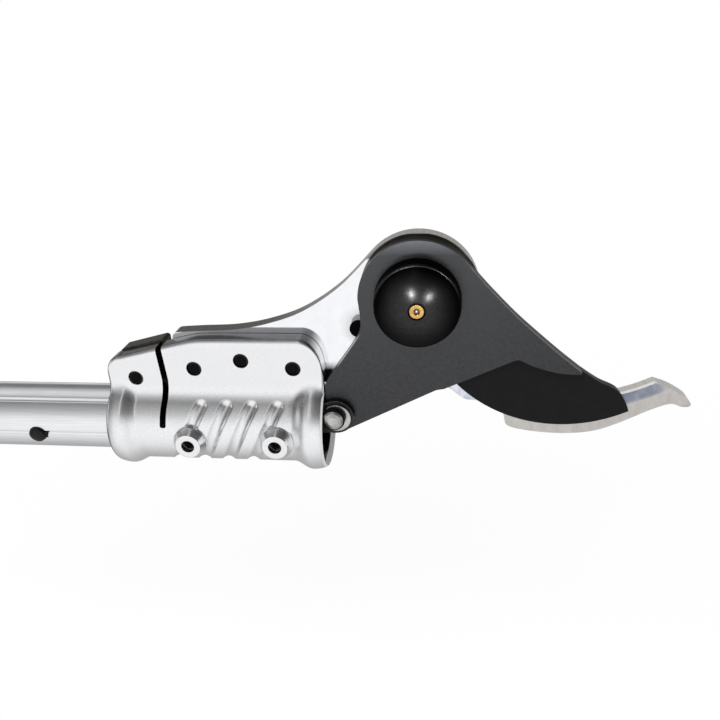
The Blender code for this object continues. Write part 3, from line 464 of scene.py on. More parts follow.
def cut_edge(tree, grain, hook, honed):
    """Painted shade near the socket and painted light towards the hook, with a painted highlight on the chamfer
    over the bevel.
    """
    # Painted shade: the cut edge near the socket is drawn dark, and lighter towards the hook.
    side = add(tree, "Mix RGBA", region(tree, ("X", 172.0, 232.0)), shades(tree, grain, "4c4b4a", "5c5b59"),
               shades(tree, grain, "a8a5a0", "c0bdb8"))
    side = add(tree, "Mix RGBA", hook, side, shades(tree, grain, "c6c3be", "d8d5d0"))
    # Painted highlight: the chamfer over the bevel is drawn near-white.
    chamfer = region(tree, ("Y", 1.7, 1.3), (honed, HONED_TO - 0.6, HONED_TO - 0.2), ("X", 258.0, 262.0),
                     ("X", 315.0, 311.5))
    return add(tree, "Mix RGBA", chamfer, side, "fefefe")


def polished_plate():
    made, tree, shader = finish("polished_steel", "f2f4f7", 0.08, 1.0)
    edge = edge_share(tree, 0.97, 0.88)
    hook = region(tree, ("X", 256.0, 257.5))
    grain = spots(tree, 0.5, 3.0, 0.6, (1.0, 0.06, 1.0))
    stain = spots(tree, 2.4, 4.0, 0.65, (1.0, 1.0, 0.6))
    sloped = add(tree, "Math MULTIPLY", axis_of(tree, "X"), HONED_SLOPE)
    honed = add(tree, "Math SUBTRACT", axis_of(tree, "Z"), sloped)
    colour = add(tree, "Mix RGBA", edge, polished_face(tree, stain, hook, honed),
                 cut_edge(tree, grain, hook, honed))
    # Rubber dust dulls the polish round the bump stop.
    dusty = add(tree, "MapRange", distance_from(tree, STOP), 4.5 * MM, 8 * MM, 0.4)
    feed(tree, shader, Base_Color=colour,
         Roughness=add(tree, "Mix FLOAT", edge, add(tree, "Mix FLOAT", hook, 0.07, 0.42), 0.42),
         Metallic=add(tree, "Math MULTIPLY", add(tree, "Mix FLOAT", edge, 1.0, BARE_EDGE), dusty),
         Normal=add(tree, "Bump", Strength=0.15, Distance=0.01 * MM, Height=grain))
    return made


FINISHES["polished_steel"] = polished_plate()
print("finishes:", len(FINISHES))

# %% [markdown]
# The lever has a dark baked coating, matte and slightly mottled. The blade's coating is blacker and smoother.
# A painted highlight runs in a line along the lever's left side, and a painted sheen lightens the top of its head.

# %% Dark coatings
HIGHLIGHT_FROM, HIGHLIGHT_TO = (198.04, 28.1), (204.86, 38.11)      # the two ends of the painted highlight line, as x and z
HIGHLIGHT_LONG = math.dist(HIGHLIGHT_FROM, HIGHLIGHT_TO)
HIGHLIGHT_ACROSS = ((HIGHLIGHT_TO[1] - HIGHLIGHT_FROM[1]) / HIGHLIGHT_LONG, (HIGHLIGHT_FROM[0] - HIGHLIGHT_TO[0]) / HIGHLIGHT_LONG)
HIGHLIGHT_AT = HIGHLIGHT_FROM[0] * HIGHLIGHT_ACROSS[0] + HIGHLIGHT_FROM[1] * HIGHLIGHT_ACROSS[1]


def dark_coating(name, dark, light, wear_and_sheen, roughness, mottle_mm, relief_mm, edges, gloss):
    """The colour after `light` is a painted sheen at the top of the head; `edges` those of the cut edge round the
    head and the rest.
    """
    made, tree, shader = finish(name, light, roughness, Specular_IOR_Level=gloss)
    mottle = spots(tree, mottle_mm, 4.0, 0.65)
    # Painted sheen: the top of the lever's head is drawn lighter.
    body = add(tree, "Mix RGBA", region(tree, ("Z", 68.5, 74.5)), shades(tree, mottle, dark, light), wear_and_sheen)
    edge = add(tree, "Mix RGBA", region(tree, ("X", 236.0, 246.0)), *edges)
    body = add(tree, "Mix RGBA", edge_share(tree), body, edge)
    beside = add(tree, "VectorMath DOT_PRODUCT", place_of(tree), (HIGHLIGHT_ACROSS[0], 0, HIGHLIGHT_ACROSS[1]))
    beside = add(tree, "Math ABSOLUTE", add(tree, "Math SUBTRACT", beside, HIGHLIGHT_AT * MM))
    # Painted highlight: a thin line along the lever's left side is drawn light.
    edge_highlight = region(tree, (beside, 0.34, 0.2), ("Y", -7.0, -7.2), ("Z", 26.5, 29.0), ("Z", 40.0, 37.0))
    feed(tree, shader, Base_Color=add(tree, "Mix RGBA", edge_highlight, body, "8f9698"),
         Roughness=add(tree, "MapRange", mottle, *MIDDLE, roughness - 0.05, roughness + 0.06),
         Normal=add(tree, "Bump", Strength=0.6, Distance=relief_mm * MM, Height=spots(tree, 0.35)))
    return made


FINISHES["dark_lever_coating"] = dark_coating("dark_baked_coating", "111214", "27282b", "686b72", 0.36, 0.9, 0.06,
                                              ("232421", "3c3d3d"), 0.4)
FINISHES["black_blade_coating"] = dark_coating("black_blade_coating_satin", "111113", "171719", "171719", 0.42,
                                               3.0, 0.01, ("141513", "3a3b3c"), 0.12)
print("finishes:", len(FINISHES))

# %% [markdown]
# The domed nut and the link are blackened steel, an oxide finish with an oiled sheen. The dome is painted
# lighter in the middle and black at the rim as painted shading, with a painted highlight on the top of its rim
# and faint turning rings. The link's rim has a painted highlight on top.

# %% Black oxide
TURNING_MM = 0.55      # the rings' spacing, coarser than a lathe leaves it, so that it shows


def blackened(name, dark, light, wear_and_sheen, roughness):
    """Black oxide wears off on rounded rims, told by the normal."""
    made, tree, shader = finish(name, light, roughness, 1.0)
    mottle = spots(tree, 0.8, 3.0, 0.6)
    skin = shades(tree, mottle, dark, light)
    feed(tree, shader, Base_Color=add(tree, "Mix RGBA", edge_share(tree, 0.97, 0.75), skin, wear_and_sheen),
         Roughness=add(tree, "MapRange", mottle, *MIDDLE, roughness - 0.04, roughness + 0.05),
         Normal=add(tree, "Bump", Strength=0.4, Distance=0.006 * MM, Height=mottle))
    return made


def forged_black():
    """The link's rim carries a painted highlight on top, beside the socket's mouth."""
    made, tree, shader = finish("forged_black_oxide", "161616", 0.4)
    mottle = spots(tree, 0.8, 3.0, 0.6)
    rim = region(tree, edge_share(tree, 0.99, 0.9), edge_share(tree, 0.2, 0.45), facing(tree, "Z", 0.25, 0.5),
                 ("X", 201.0, 197.5), ("X", 188.0, 190.0))
    feed(tree, shader, Base_Color=add(tree, "Mix RGBA", rim, shades(tree, mottle, "0b0b0b", "141414"), "c4c4c2"),
         Normal=add(tree, "Bump", Strength=0.4, Distance=0.006 * MM, Height=mottle))
    return made


def blackened_dome():
    made, tree, shader = finish("blackened_dome_oiled", "303030", 0.22, 1.0)
    out = distance_from(tree, PIVOT)
    mottle = spots(tree, 1.2, 4.0, 0.65)
    # Painted shading: the dome is drawn lighter in the middle and black towards the rim.
    skin = add(tree, "Mix RGBA", region(tree, (out, 5.5, 13.6)), shades(tree, mottle, "303030", "3c3c3c"), "0d0d0d")
    # Painted highlight: the top arc of the rim is drawn lighter.
    rim = region(tree, (out, 14.15, 14.3), (out, 14.75, 14.6), ("Z", 56.0, 62.0))
    rings = add(tree, "Math SINE", add(tree, "Math MULTIPLY", out, 2 * math.pi / (TURNING_MM * MM)))
    height = add(tree, "Math ADD", add(tree, "Math MULTIPLY", rings, 0.12), mottle)
    feed(tree, shader, Base_Color=add(tree, "Mix RGBA", rim, skin, "2e2e2e"),
         Normal=add(tree, "Bump", Strength=0.35, Distance=0.01 * MM, Height=height))
    return made


FINISHES["blackened_steel"] = blackened("blackened_steel_oxide", "101010", "1a1a1a", "8a8a88", 0.36)
print("finishes:", len(FINISHES))

# %% [markdown]
# What is left is moulded or turned. Rubber, nylon and acetal come from a mould with an even, slightly dull skin.
# Steel and brass come from the lathe, with faint rings that are drawn as a fine noise, and small stains.

# %% Moulded and turned finishes


def moulded(name, dark, light, roughness, gloss=0.2):
    made, tree, shader = finish(name, light, roughness, Specular_IOR_Level=gloss)
    mottle = spots(tree, 0.8, 3.0, 0.6)
    feed(tree, shader, Base_Color=shades(tree, mottle, dark, light),
         Roughness=add(tree, "MapRange", mottle, *MIDDLE, roughness - 0.04, roughness + 0.05),
         Normal=add(tree, "Bump", Strength=0.4, Distance=0.006 * MM, Height=mottle))
    return made


def turned_metal(name, dark, light, roughness):
    made, tree, shader = finish(name, light, roughness, 1.0)
    fine = spots(tree, 0.25)
    feed(tree, shader, Base_Color=shades(tree, spots(tree, 2.0, 3.0, 0.6), dark, light),
         Roughness=add(tree, "MapRange", fine, *MIDDLE, roughness - 0.05, roughness + 0.06),
         Normal=add(tree, "Bump", Strength=0.4, Distance=0.006 * MM, Height=fine))
    return made


FINISHES.update({
    "turned_steel": turned_metal("turned_steel_bare", "b2b2b0", "cfcecb", 0.3),
    "brass": turned_metal("turned_brass", "c9a05e", "e6bf7a", 0.28),
    "black_rubber": moulded("moulded_black_rubber", "040404", "070707", 0.7, 0.03),
    "black_plastic": moulded("moulded_black_nylon", "080808", "101011", 0.4, 0.25),
    "bearing_plastic": moulded("bearing_plastic_acetal", "c9c3b4", "ddd8cb", 0.4, 0.5),
})
print("finishes:", *FINISHES)

# %% [markdown]
# ## Shapes
#
# Helpers for outlines first: arcs, a smooth line through a few points, and rounded corners. They are the same
# forms as in the CAD, only with more points on each curve.

# %% Outline helpers


def arc(centre, radius, start, end, count):
    """Points along an arc between two angles in degrees."""
    turns = [math.radians(start + (end - start) * i / count) for i in range(count + 1)]
    return [(centre[0] + radius * math.cos(t), centre[1] + radius * math.sin(t)) for t in turns]


def circle(centre, radius, count=96):
    return arc(centre, radius, 0, 360, count)[:-1]


def arc_through(first, middle, last, count):
    """The arc through three points, and its centre."""
    (ax, ay), (bx, by), (cx, cy) = first, middle, last
    area = 2 * (ax * (by - cy) + bx * (cy - ay) + cx * (ay - by))
    sa, sb, sc = ax * ax + ay * ay, bx * bx + by * by, cx * cx + cy * cy
    centre = ((sa * (by - cy) + sb * (cy - ay) + sc * (ay - by)) / area,
              (sa * (cx - bx) + sb * (ax - cx) + sc * (bx - ax)) / area)
    radius = math.dist(centre, first)
    start = math.degrees(math.atan2(ay - centre[1], ax - centre[0]))
    end = math.degrees(math.atan2(cy - centre[1], cx - centre[0]))
    if area > 0 and end < start:
        end += 360
    if area < 0 and end > start:
        end -= 360
    return arc(centre, radius, start, end, count), centre


def smooth(points, count=10):
    """A smooth line through points, which may carry one more number, such as a width."""
    padded = [points[0]] + list(points) + [points[-1]]
    line = []
    for p0, p1, p2, p3 in zip(padded, padded[1:], padded[2:], padded[3:]):
        for step in range(count):
            t = step / count
            line.append(tuple(
                0.5 * (2 * b + (c - a) * t + (2 * a - 5 * b + 4 * c - d) * t * t + (3 * b - a - 3 * c + d) * t ** 3)
                for a, b, c, d in zip(p0, p1, p2, p3)))
    return line + [points[-1]]


def rounded(points, radii, count=8, closed=True):
    """A line whose corners are rounded to the radii given, 0 for a sharp one."""
    line = []
    for i, corner in enumerate(points):
        radius = radii[i] if not isinstance(radii, (int, float)) else radii
        if not radius or (not closed and i in (0, len(points) - 1)):
            line.append(tuple(corner))
            continue
        here = Vector(corner)
        back = (Vector(points[i - 1]) - here).normalized()
        ahead = (Vector(points[(i + 1) % len(points)]) - here).normalized()
        half = back.angle(ahead) / 2
        middle = here + (back + ahead).normalized() * (radius / math.sin(half))
        first = here + back * (radius / math.tan(half)) - middle
        last = here + ahead * (radius / math.tan(half)) - middle
        sweep = first.angle_signed(last)
        for step in range(count + 1):
            spot = middle + Matrix.Rotation(-sweep * step / count, 2) @ first
            line.append((spot.x, spot.y))
    return line


print("a 10 mm circle of 96 points starts at", circle((0, 0), 10.0)[0])

# %% [markdown]
# Mesh helpers come next. A shape is either turned about an axis, cut from a plate, or lofted through rings, and
# one function bridges the rings for all of them. Booleans are applied at once, so that later steps see the cut.

# %% Mesh helpers
ALONG_X = Matrix.Rotation(math.radians(90), 4, "Y")      # local Z becomes +X
TO_FRONT = Matrix.Rotation(math.radians(90), 4, "X")     # local Z becomes -Y


def mesh_object(name, work, slot=None, body=None, sharp=35):
    """Files a bmesh as a piece: shaded, dressed in its finish, and riding on its body."""
    mesh = bpy.data.meshes.new(name)
    bmesh.ops.recalc_face_normals(work, faces=work.faces)
    work.to_mesh(mesh)
    work.free()
    mesh.shade_smooth()
    mesh.set_sharp_from_angle(angle=math.radians(sharp))
    item = bpy.data.objects.new(name, mesh)
    bpy.context.scene.collection.objects.link(item)
    if slot:
        mesh.materials.append(FINISHES[slot])
    if body:
        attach(item, body)
    return item


def bridge(work, loops, closed_up=False, capped=True):
    """Faces from each loop of points to the next. A loop of one point makes triangles."""
    steps = max(len(loop) for loop in loops)
    for first, second in zip(loops, loops[1:] + (loops[:1] if closed_up else [])):
        for i in range(steps):
            j = (i + 1) % steps
            corners = [first[i % len(first)], first[j % len(first)], second[j % len(second)], second[i % len(second)]]
            corners = list(dict.fromkeys(corners))
            if len(corners) > 2:
                work.faces.new(corners)
    if capped:
        work.faces.new(loops[0])
        work.faces.new(loops[-1])


def turned(name, profile, place, turn, slot=None, body=None, steps=96, ring=False):
    """Turns a profile of (radius, height) pairs in millimetres about local Z."""
    work = bmesh.new()
    matrix = Matrix.Translation(Vector(place) * MM) @ turn
    loops = []
    for radius, height in profile:
        turns = [0.0] if radius < 1e-6 else [2 * math.pi * i / steps for i in range(steps)]
        places = [Vector((radius * math.cos(t), radius * math.sin(t), height)) for t in turns]
        loops.append([work.verts.new(matrix @ (spot * MM)) for spot in places])
    bridge(work, loops, closed_up=ring, capped=False)
    return mesh_object(name, work, slot, body)


def to_mesh(item):
    """Applies an object's modifiers to its own mesh."""
    depsgraph = bpy.context.evaluated_depsgraph_get()
    fresh = bpy.data.meshes.new_from_object(item.evaluated_get(depsgraph))
    item.modifiers.clear()
    item.data = fresh
    return item


def cut(item, *cutters, operation="DIFFERENCE"):
    """Cuts with closed meshes, one after another, and throws the cutters away."""
    for cutter in cutters:
        step = item.modifiers.new("cut", "BOOLEAN")
        step.operation = operation
        step.solver = "EXACT"
        step.object = cutter
    bpy.context.view_layer.update()
    to_mesh(item)
    for cutter in cutters:
        bpy.data.objects.remove(cutter, do_unlink=True)
    return item


def resharpen(item, angle):
    item.data.shade_smooth()
    item.data.set_sharp_from_angle(angle=math.radians(angle))


def plate(name, outlines, y_range, slot, body, edge):
    """A plate from an outline and its holes, with its edges rounded by `edge`."""
    curve = bpy.data.curves.new(name, "CURVE")
    curve.dimensions = "2D"
    curve.fill_mode = "BOTH"
    curve.extrude = abs(y_range[1] - y_range[0]) / 2 * MM
    for outline in outlines:
        spline = curve.splines.new("POLY")
        spline.points.add(len(outline) - 1)
        for point, (x, z) in zip(spline.points, outline):
            point.co = (x * MM, z * MM, 0.0, 1.0)
        spline.use_cyclic_u = True
    source = bpy.data.objects.new(name + "_curve", curve)
    bpy.context.scene.collection.objects.link(source)
    depsgraph = bpy.context.evaluated_depsgraph_get()
    mesh = bpy.data.meshes.new_from_object(source.evaluated_get(depsgraph))
    bpy.data.objects.remove(source, do_unlink=True)
    work = bmesh.new()
    work.from_mesh(mesh)
    bpy.data.meshes.remove(mesh)
    upright = Matrix.Translation((0, sum(y_range) / 2 * MM, 0)) @ TO_FRONT
    bmesh.ops.transform(work, matrix=upright, verts=work.verts)
    bmesh.ops.remove_doubles(work, verts=work.verts, dist=0.000004)
    item = mesh_object(name, work, slot, body, 40)
    return soften(item, edge)


def soften(item, edge, angle=40, segments=2):
    """Rounds an object's sharp edges a little, as tumbling or wear does, and keeps its flat faces flat."""
    for old in list(item.modifiers):
        item.modifiers.remove(old)
    bevel = item.modifiers.new("edges", "BEVEL")
    bevel.width = edge * MM
    bevel.segments = segments
    bevel.limit_method = "ANGLE"
    bevel.angle_limit = math.radians(angle)
    bevel.harden_normals = False
    item.data.shade_smooth()
    item.data.set_sharp_from_angle(angle=math.radians(180))
    item.modifiers.new("faces", "WEIGHTED_NORMAL").keep_sharp = True
    return item


def loft(name, rings, **filing):
    """A closed skin through rings that have the same number of points."""
    work = bmesh.new()
    bridge(work, [[work.verts.new(Vector(spot) * MM) for spot in ring] for ring in rings])
    return mesh_object(name, work, **filing)


def box(name, low, high):
    corners = [(low[0], low[1]), (high[0], low[1]), (high[0], high[1]), (low[0], high[1])]
    return loft(name, [[(x, y, z) for x, y in corners] for z in (low[2], high[2])])


print("local Z turned to the front points along", tuple(round(v) for v in TO_FRONT.col[2])[:3])

# %% [markdown]
# ## Pole
#
# The tube comes out of its die with shallow round flutes, and the die's corners leave a small radius on each
# flute's rim. One formula gives that form: a round dip that runs out flat at both rims.

# %% Pole tube
POLE_R, POLE_BORE, POLE_END = 13.0, 11.5, 164.0
FLUTE_COUNT, FLUTE_FIRST, FLUTE_WIDTH, FLUTE_DEPTH = 6, -6.6, 2.5, 0.65
BUTTON_X, BUTTON_R, BUTTON_TURN = 76.6, 3.25, 8.6      # it sits 8.6 degrees below -Y


def pole_radius(degrees):
    """The pole's outside at an angle above -Y."""
    pitch = 360 / FLUTE_COUNT
    off = (degrees - FLUTE_FIRST + pitch / 2) % pitch - pitch / 2
    across = abs(math.radians(off)) * POLE_R / (FLUTE_WIDTH / 2)
    return POLE_R - (FLUTE_DEPTH * (1 - across ** 2) ** 1.3 if across < 1 else 0.0)


def button_frame():
    """Local Z points out of the pole through the middle of the button, local X along the pole."""
    down = math.radians(BUTTON_TURN)
    out = Vector((0, -math.cos(down), -math.sin(down)))
    ahead = Vector((1, 0, 0))
    axes = Matrix((ahead, out.cross(ahead), out)).transposed().to_4x4()
    return Matrix.Translation((BUTTON_X * MM, 0, 0)) @ axes


def keyhole(radius, tongue_end, half, count=24):
    """A round head with a straight tongue towards +X."""
    start = math.degrees(math.asin(half / radius))
    line = arc((0, 0), radius, start, 360 - start, count)
    return line + [(tongue_end, -half), (tongue_end, half)]


def prism(name, outline, low, high, matrix, shrink=0.0):
    """A closed prism from an outline in its own XY plane, with a chamfered top where asked."""
    work = bmesh.new()
    levels = (low, high - shrink)
    loops = [[work.verts.new(matrix @ (Vector((x, y, z)) * MM)) for x, y in outline] for z in levels]
    if shrink:
        middle = sum((Vector(p) for p in outline), Vector((0, 0))) / len(outline)
        inner = [Vector(p) - (Vector(p) - middle).normalized() * shrink for p in outline]
        loops.append([work.verts.new(matrix @ (Vector((p.x, p.y, high)) * MM)) for p in inner])
    bridge(work, loops)
    return mesh_object(name, work)


def pole_tube():
    """Rings at eight places along the tube: its outside with softened ends, then back through its bore."""
    rim, bore_rim = 0.3, POLE_BORE + 0.3
    profile = [(0.0, bore_rim, None), (0.0, None, -rim), (rim, None, 0.0), (POLE_END - rim, None, 0.0),
               (POLE_END, None, -rim), (POLE_END, bore_rim, None), (POLE_END - rim, POLE_BORE, None),
               (rim, POLE_BORE, None)]
    work = bmesh.new()
    loops = []
    for x, bore, inset in profile:
        loop = []
        for degrees in range(-180, 180):
            radius = bore if bore is not None else pole_radius(degrees) + inset
            turn = math.radians(degrees)
            loop.append(work.verts.new(Vector((x, -radius * math.cos(turn), radius * math.sin(turn))) * MM))
        loops.append(loop)
    bridge(work, loops, closed_up=True, capped=False)
    tube = mesh_object("fluted_tube", work, "extruded_aluminium", "pole", 30)
    window = prism("window", keyhole(BUTTON_R + 0.2, 4.0, 1.6), 9.0, 20.0, button_frame())
    cut(tube, window)
    resharpen(tube, 30)
    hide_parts("pole_tube")
    return tube


tube = pole_tube()
print("tube faces:", len(tube.data.polygons))

# %% Lock button
TONGUE_X, TONGUE_HALF = (0.5, 3.85), 1.45


def lock_button():
    top = POLE_R + 1.7
    crown = arc_through((0, top), (BUTTON_R * 0.6, top - 0.25), (BUTTON_R - 0.15, top - 0.85), 10)[0]
    profile = crown + [(BUTTON_R, top - 1.35), (BUTTON_R, 11.2), (0, 11.2)]
    button = turned("button_head", profile, (0, 0, 0), Matrix.Identity(4), "black_plastic", None, steps=64)
    button.data.transform(button_frame())
    near, far = TONGUE_X
    tongue = [(near, -TONGUE_HALF), (far, -TONGUE_HALF), (far, TONGUE_HALF), (near, TONGUE_HALF)]
    tongue = prism("tongue", tongue, 10.9, POLE_R + 0.4, button_frame(), 0.25)
    foot = rounded([(-4.4, -2.6), (6.4, -2.6), (6.4, 2.6), (-4.4, 2.6)], 0.6)
    foot = prism("foot", foot, 9.9, 11.25, button_frame())
    cut(button, tongue, foot, operation="UNION")
    resharpen(button, 30)
    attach(button, "button")
    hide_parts("lock_button")
    return button


button = lock_button()
print("button faces:", len(button.data.polygons))

# %% [markdown]
# ## Socket
#
# The socket is one casting. Its skin is a loft through sections along the pole: a round body, a large fillet
# up into each flange, and a rounded lip. The grooves are pressed into that skin by moving its points in, which
# keeps their rims soft as a casting's are. Bosses, bore, slit and holes follow.

# %% Socket sizes
GAP = 0.3                # clearance between pieces
FAR = 60.0               # well outside the part, for cutters
SOCKET_X, SOCKET_R = (108.2, 192.0), 16.3
BEADS = ((113.2, 2.3, 11.0, 6.4), (186.5, 3.0, 7.8, 13.0))      # crest, rise, and reach to the left and right
FRONT_FACE, REAR_FACE = -8.1, 10.3                              # y of the flanges' outer faces
FILLET, LIP, SLOT_FLOOR, END_ROUND, END_DRAW = 7.5, 1.8, 16.45, 1.3, 0.6
MOUTH = ((164.5, 13.3), (166.0, 13.8), (174.0, 13.9), (182.0, 14.9), (187.0, 15.9), (189.8, 16.5),
         (190.0, 17.0), (191.8, 17.75), (192.1, 18.4), (193.0, 19.4))      # the bore's radius along X
SLIT_LINE, SLIT_WIDTH = ((129.6, 42.0), (130.1, 34.3), (131.0, 20.5), (130.4, 14.5), (130.2, 3.9)), 2.4
GROOVE_TOPS, GROOVE_ANGLES = (144.8, 154.7, 164.4, 174.4), (44.5, -105.0)      # degrees above -Y
GROOVE_LEAD = 13.1 / 107.0             # millimetres along X for each degree
GROOVE_HALF, GROOVE_DEPTH = 2.6, 1.25
BOSSES, BOSS_FACE = ((140.5, -1.6), (174.0, -1.1)), -19.8
RIVET_R, SET_SCREW_R = 2.5, 2.3
RIVETS = ((119.4, 21.2), (142.9, 25.4), (161.3, 28.9), (180.7, 25.9))
PLATE_Y, BLADE_Y, LEVER_Y = (-1.0, 5.0), (-4.8, -1.3), (-7.6, -5.1)
PIN = (196.2, 7.2)                     # x and z of the drive pin's axis
print("socket is", round(SOCKET_X[1] - SOCKET_X[0], 1), "mm long")

# %% Socket sections


def bead_height(x):
    """How far the two beads raise the round body at x."""
    height = 0.0
    for centre, rise, before, after in BEADS:
        off = (centre - x) / before if x < centre else (x - centre) / after
        if off < 1:
            height += rise * math.cos(off * math.pi / 2) ** 2
    return height


def end_inset(x):
    """How far the skin draws in at the socket's rounded ends."""
    short = max(0.0, END_ROUND - min(x - SOCKET_X[0], SOCKET_X[1] - x))
    return END_ROUND - math.sqrt(END_ROUND ** 2 - short ** 2)


def flange_top(x):
    """The front flange's top: it slopes up from the left, runs level, and is rounded at both ends."""
    left, level, right = 114.0, 37.25, 182.5
    if x < left:
        return 22.4 + 7.5 * math.sqrt(max(0.0, 1 - ((left - x) / 6.0) ** 2))
    if x > right:
        return 25.5 + 11.75 * math.sqrt(max(0.0, 1 - ((x - right) / 9.0) ** 2))
    slope = 29.9 + (x - left) * 0.247
    return level - 0.5 * (math.hypot(level - slope, 0.8) + level - slope)


def rear_flange_top(x):
    """The rear flange is lower, and lower still left of the slit, so that it stays out of view."""
    return flange_top(x) - 3.8 - (1.2 if x < SLIT_LINE[0][0] else 0.0)


def half_section(face, radius, top, lip):
    """From the flange's top, down its face and round the body to the bottom, as (out, up) pairs."""
    reach = radius + FILLET
    centre = (face + FILLET, math.sqrt(reach ** 2 - (face + FILLET) ** 2))
    meet = math.degrees(math.atan2(centre[1], centre[0]))
    lip_arc = arc((face - lip, top - lip), lip, 90, 0, 10)
    fillet = arc(centre, FILLET, 180, 180 + meet, 14)
    down = [(face, lip_arc[-1][1] + (fillet[0][1] - lip_arc[-1][1]) * i / 12) for i in range(1, 12)]
    return lip_arc + down + fillet + arc((0, 0), radius, meet, -90, 110)[1:]


def socket_section(x):
    inset = end_inset(x)
    radius = SOCKET_R + bead_height(x) - inset * END_DRAW / END_ROUND
    front = half_section(-FRONT_FACE - inset, radius, flange_top(x) - inset, LIP)
    rear = half_section(REAR_FACE - inset, radius, rear_flange_top(x) - inset, LIP)
    slot_front, slot_rear = PLATE_Y[0] - GAP, PLATE_Y[1] + GAP
    line = [(slot_front, SLOT_FLOOR), (slot_front, flange_top(x) - inset)]
    line += [(-out, up) for out, up in front]
    line += [(out, up) for out, up in reversed(rear[:-1])]
    line += [(slot_rear, rear_flange_top(x) - inset), (slot_rear, SLOT_FLOOR)]
    return line


def socket_stations():
    """Where the sections stand: close together at the rounded ends, evenly between them."""
    left, right = SOCKET_X
    ends = [END_ROUND * (1 - math.cos(math.radians(a))) for a in (0, 11, 22, 34, 46, 58, 70, 80, 90)]
    middle = [left + END_ROUND + (right - left - 2 * END_ROUND) * i / 190 for i in range(1, 190)]
    return [left + e for e in ends] + middle + [right - e for e in reversed(ends)]


print("socket:", len(socket_stations()), "sections of", len(socket_section(150.0)), "points")

# %% Grooves pressed into the skin


def press_grooves(points):
    """Moves the skin's points in along each groove. The line of a groove winds a little along the pole."""
    turns = np.radians(np.linspace(GROOVE_ANGLES[0], GROOVE_ANGLES[1], 260))
    depth = np.zeros(len(points))
    for top in GROOVE_TOPS:
        line = np.stack((top - (GROOVE_ANGLES[0] - np.degrees(turns)) * GROOVE_LEAD,
                         -SOCKET_R * np.cos(turns), SOCKET_R * np.sin(turns)), axis=1)
        near = np.linalg.norm(points[:, None, :] - line[None, :, :], axis=2).min(axis=1)
        share = np.clip(1 - (near / GROOVE_HALF) ** 2, 0, None)
        depth = np.maximum(depth, GROOVE_DEPTH * share ** 1.2)
    out = points.copy()
    out[:, 0] = 0
    out /= np.linalg.norm(out, axis=1)[:, None]
    return points - out * depth[:, None]


print("a groove winds", round(GROOVE_LEAD * 90, 1), "mm along the pole in a quarter turn")

# %% Socket skin


def boss_shape(number, centre):
    """A short cone with a softened rim."""
    face, foot = -BOSS_FACE, 13.6
    flank = rounded([(3.0, face), (4.8, face), (6.5, 17.0), (6.6, foot)], [0, 0.35, 0.5, 0], 5, False)
    profile = [(0, face)] + flank + [(0, foot)]
    return turned(f"boss_{number}", profile, (centre[0], 0, centre[1]), TO_FRONT, steps=72)


def holed(name, centre, radius, face, low=-FAR, rim=0.35):
    """A cutter for a hole from the front whose mouth is rounded at the face."""
    flare = arc((radius + rim, -face - rim), rim, 180, 90, 5)
    profile = [(0, -face + 2.0), (radius + rim, -face + 2.0)] + flare[::-1] + [(radius, low), (0, low)]
    return turned(name, profile, (centre[0], 0, centre[1]), TO_FRONT, steps=72)


def slit_shape():
    left = [(x - SLIT_WIDTH / 2, z) for x, z in SLIT_LINE]
    right = [(x + SLIT_WIDTH / 2, z) for x, z in reversed(SLIT_LINE)]
    outline = rounded(left + right, [0, 0, 6, 8, 0.9, 0.9, 8, 6, 0, 0], 6)
    return prism("slit", outline, -FAR, FAR, TO_FRONT)


def pole_socket():
    rings = np.array([[(x, y, z) for y, z in socket_section(x)] for x in socket_stations()])
    rings = press_grooves(rings.reshape(-1, 3)).reshape(rings.shape)
    socket = loft("cast_socket", rings, slot="cast_aluminium", body="pole", sharp=40)
    cut(socket, *[boss_shape(n, c) for n, c in enumerate(BOSSES, 1)], operation="UNION")
    start = SOCKET_X[0] - 2
    flared = [(radius, x) for x, radius in reversed(MOUTH)]
    bore = [(0, MOUTH[-1][0])] + flared + [(POLE_R + GAP, start), (0, start)]
    cut(socket, turned("bore", bore, (0, 0, 0), ALONG_X, steps=160))
    cut(socket, slit_shape())
    cut(socket, *[holed(f"rivet_hole_{n}", c, RIVET_R + GAP, FRONT_FACE) for n, c in enumerate(RIVETS, 1)],
        *[holed(f"screw_hole_{n}", c, 2.45, BOSS_FACE, 8.0, 0.2) for n, c in enumerate(BOSSES, 1)])
    resharpen(socket, 40)
    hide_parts("pole_socket")
    return socket


socket = pole_socket()
print("socket faces:", len(socket.data.polygons))

# %% [markdown]
# ## Small pieces of the socket
#
# The steel filler left of the slit is a small plate. Each rivet sits just under the flange's face, and its
# formed head is behind. The two set screws lie deep in their bosses, with a six-sided key socket.

# %% Spacer, rivets and set screws
RIVET_SUNK = 0.55


def socket_spacer():
    outline = rounded([(109.6, 17.0), (130.5, 17.0), (130.5, 34.9), (112.7, 30.3), (109.6, 25.5)],
                      [0, 0, 1.2, 2.5, 2.5])
    hole = circle(RIVETS[0], RIVET_R + GAP, 48)
    spacer = plate("steel_filler", [outline, hole], PLATE_Y, "turned_steel", "pole", 0.3)
    spacer.data.materials[0] = turned_metal("sawn_steel_oiled", "45423e", "66625c", 0.45)
    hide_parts("socket_spacer")
    return spacer


def frame_rivet(number, centre):
    face, back = -FRONT_FACE - RIVET_SUNK, -REAR_FACE - GAP
    tip = rounded([(0, face), (RIVET_R, face), (RIVET_R, back)], [0, 0.35, 0], 5, False)
    crown = arc_through((4.3, back - 0.45), (3.0, back - 1.4), (0, back - 1.8), 10)[0]
    profile = tip + [(4.2, back), (4.3, back - 0.12)] + crown
    rivet = turned(f"rivet_{number}", profile, (centre[0], 0, centre[1]), TO_FRONT, "blackened_steel", "pole", 64)
    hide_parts(f"frame_rivet_{number}")
    return rivet


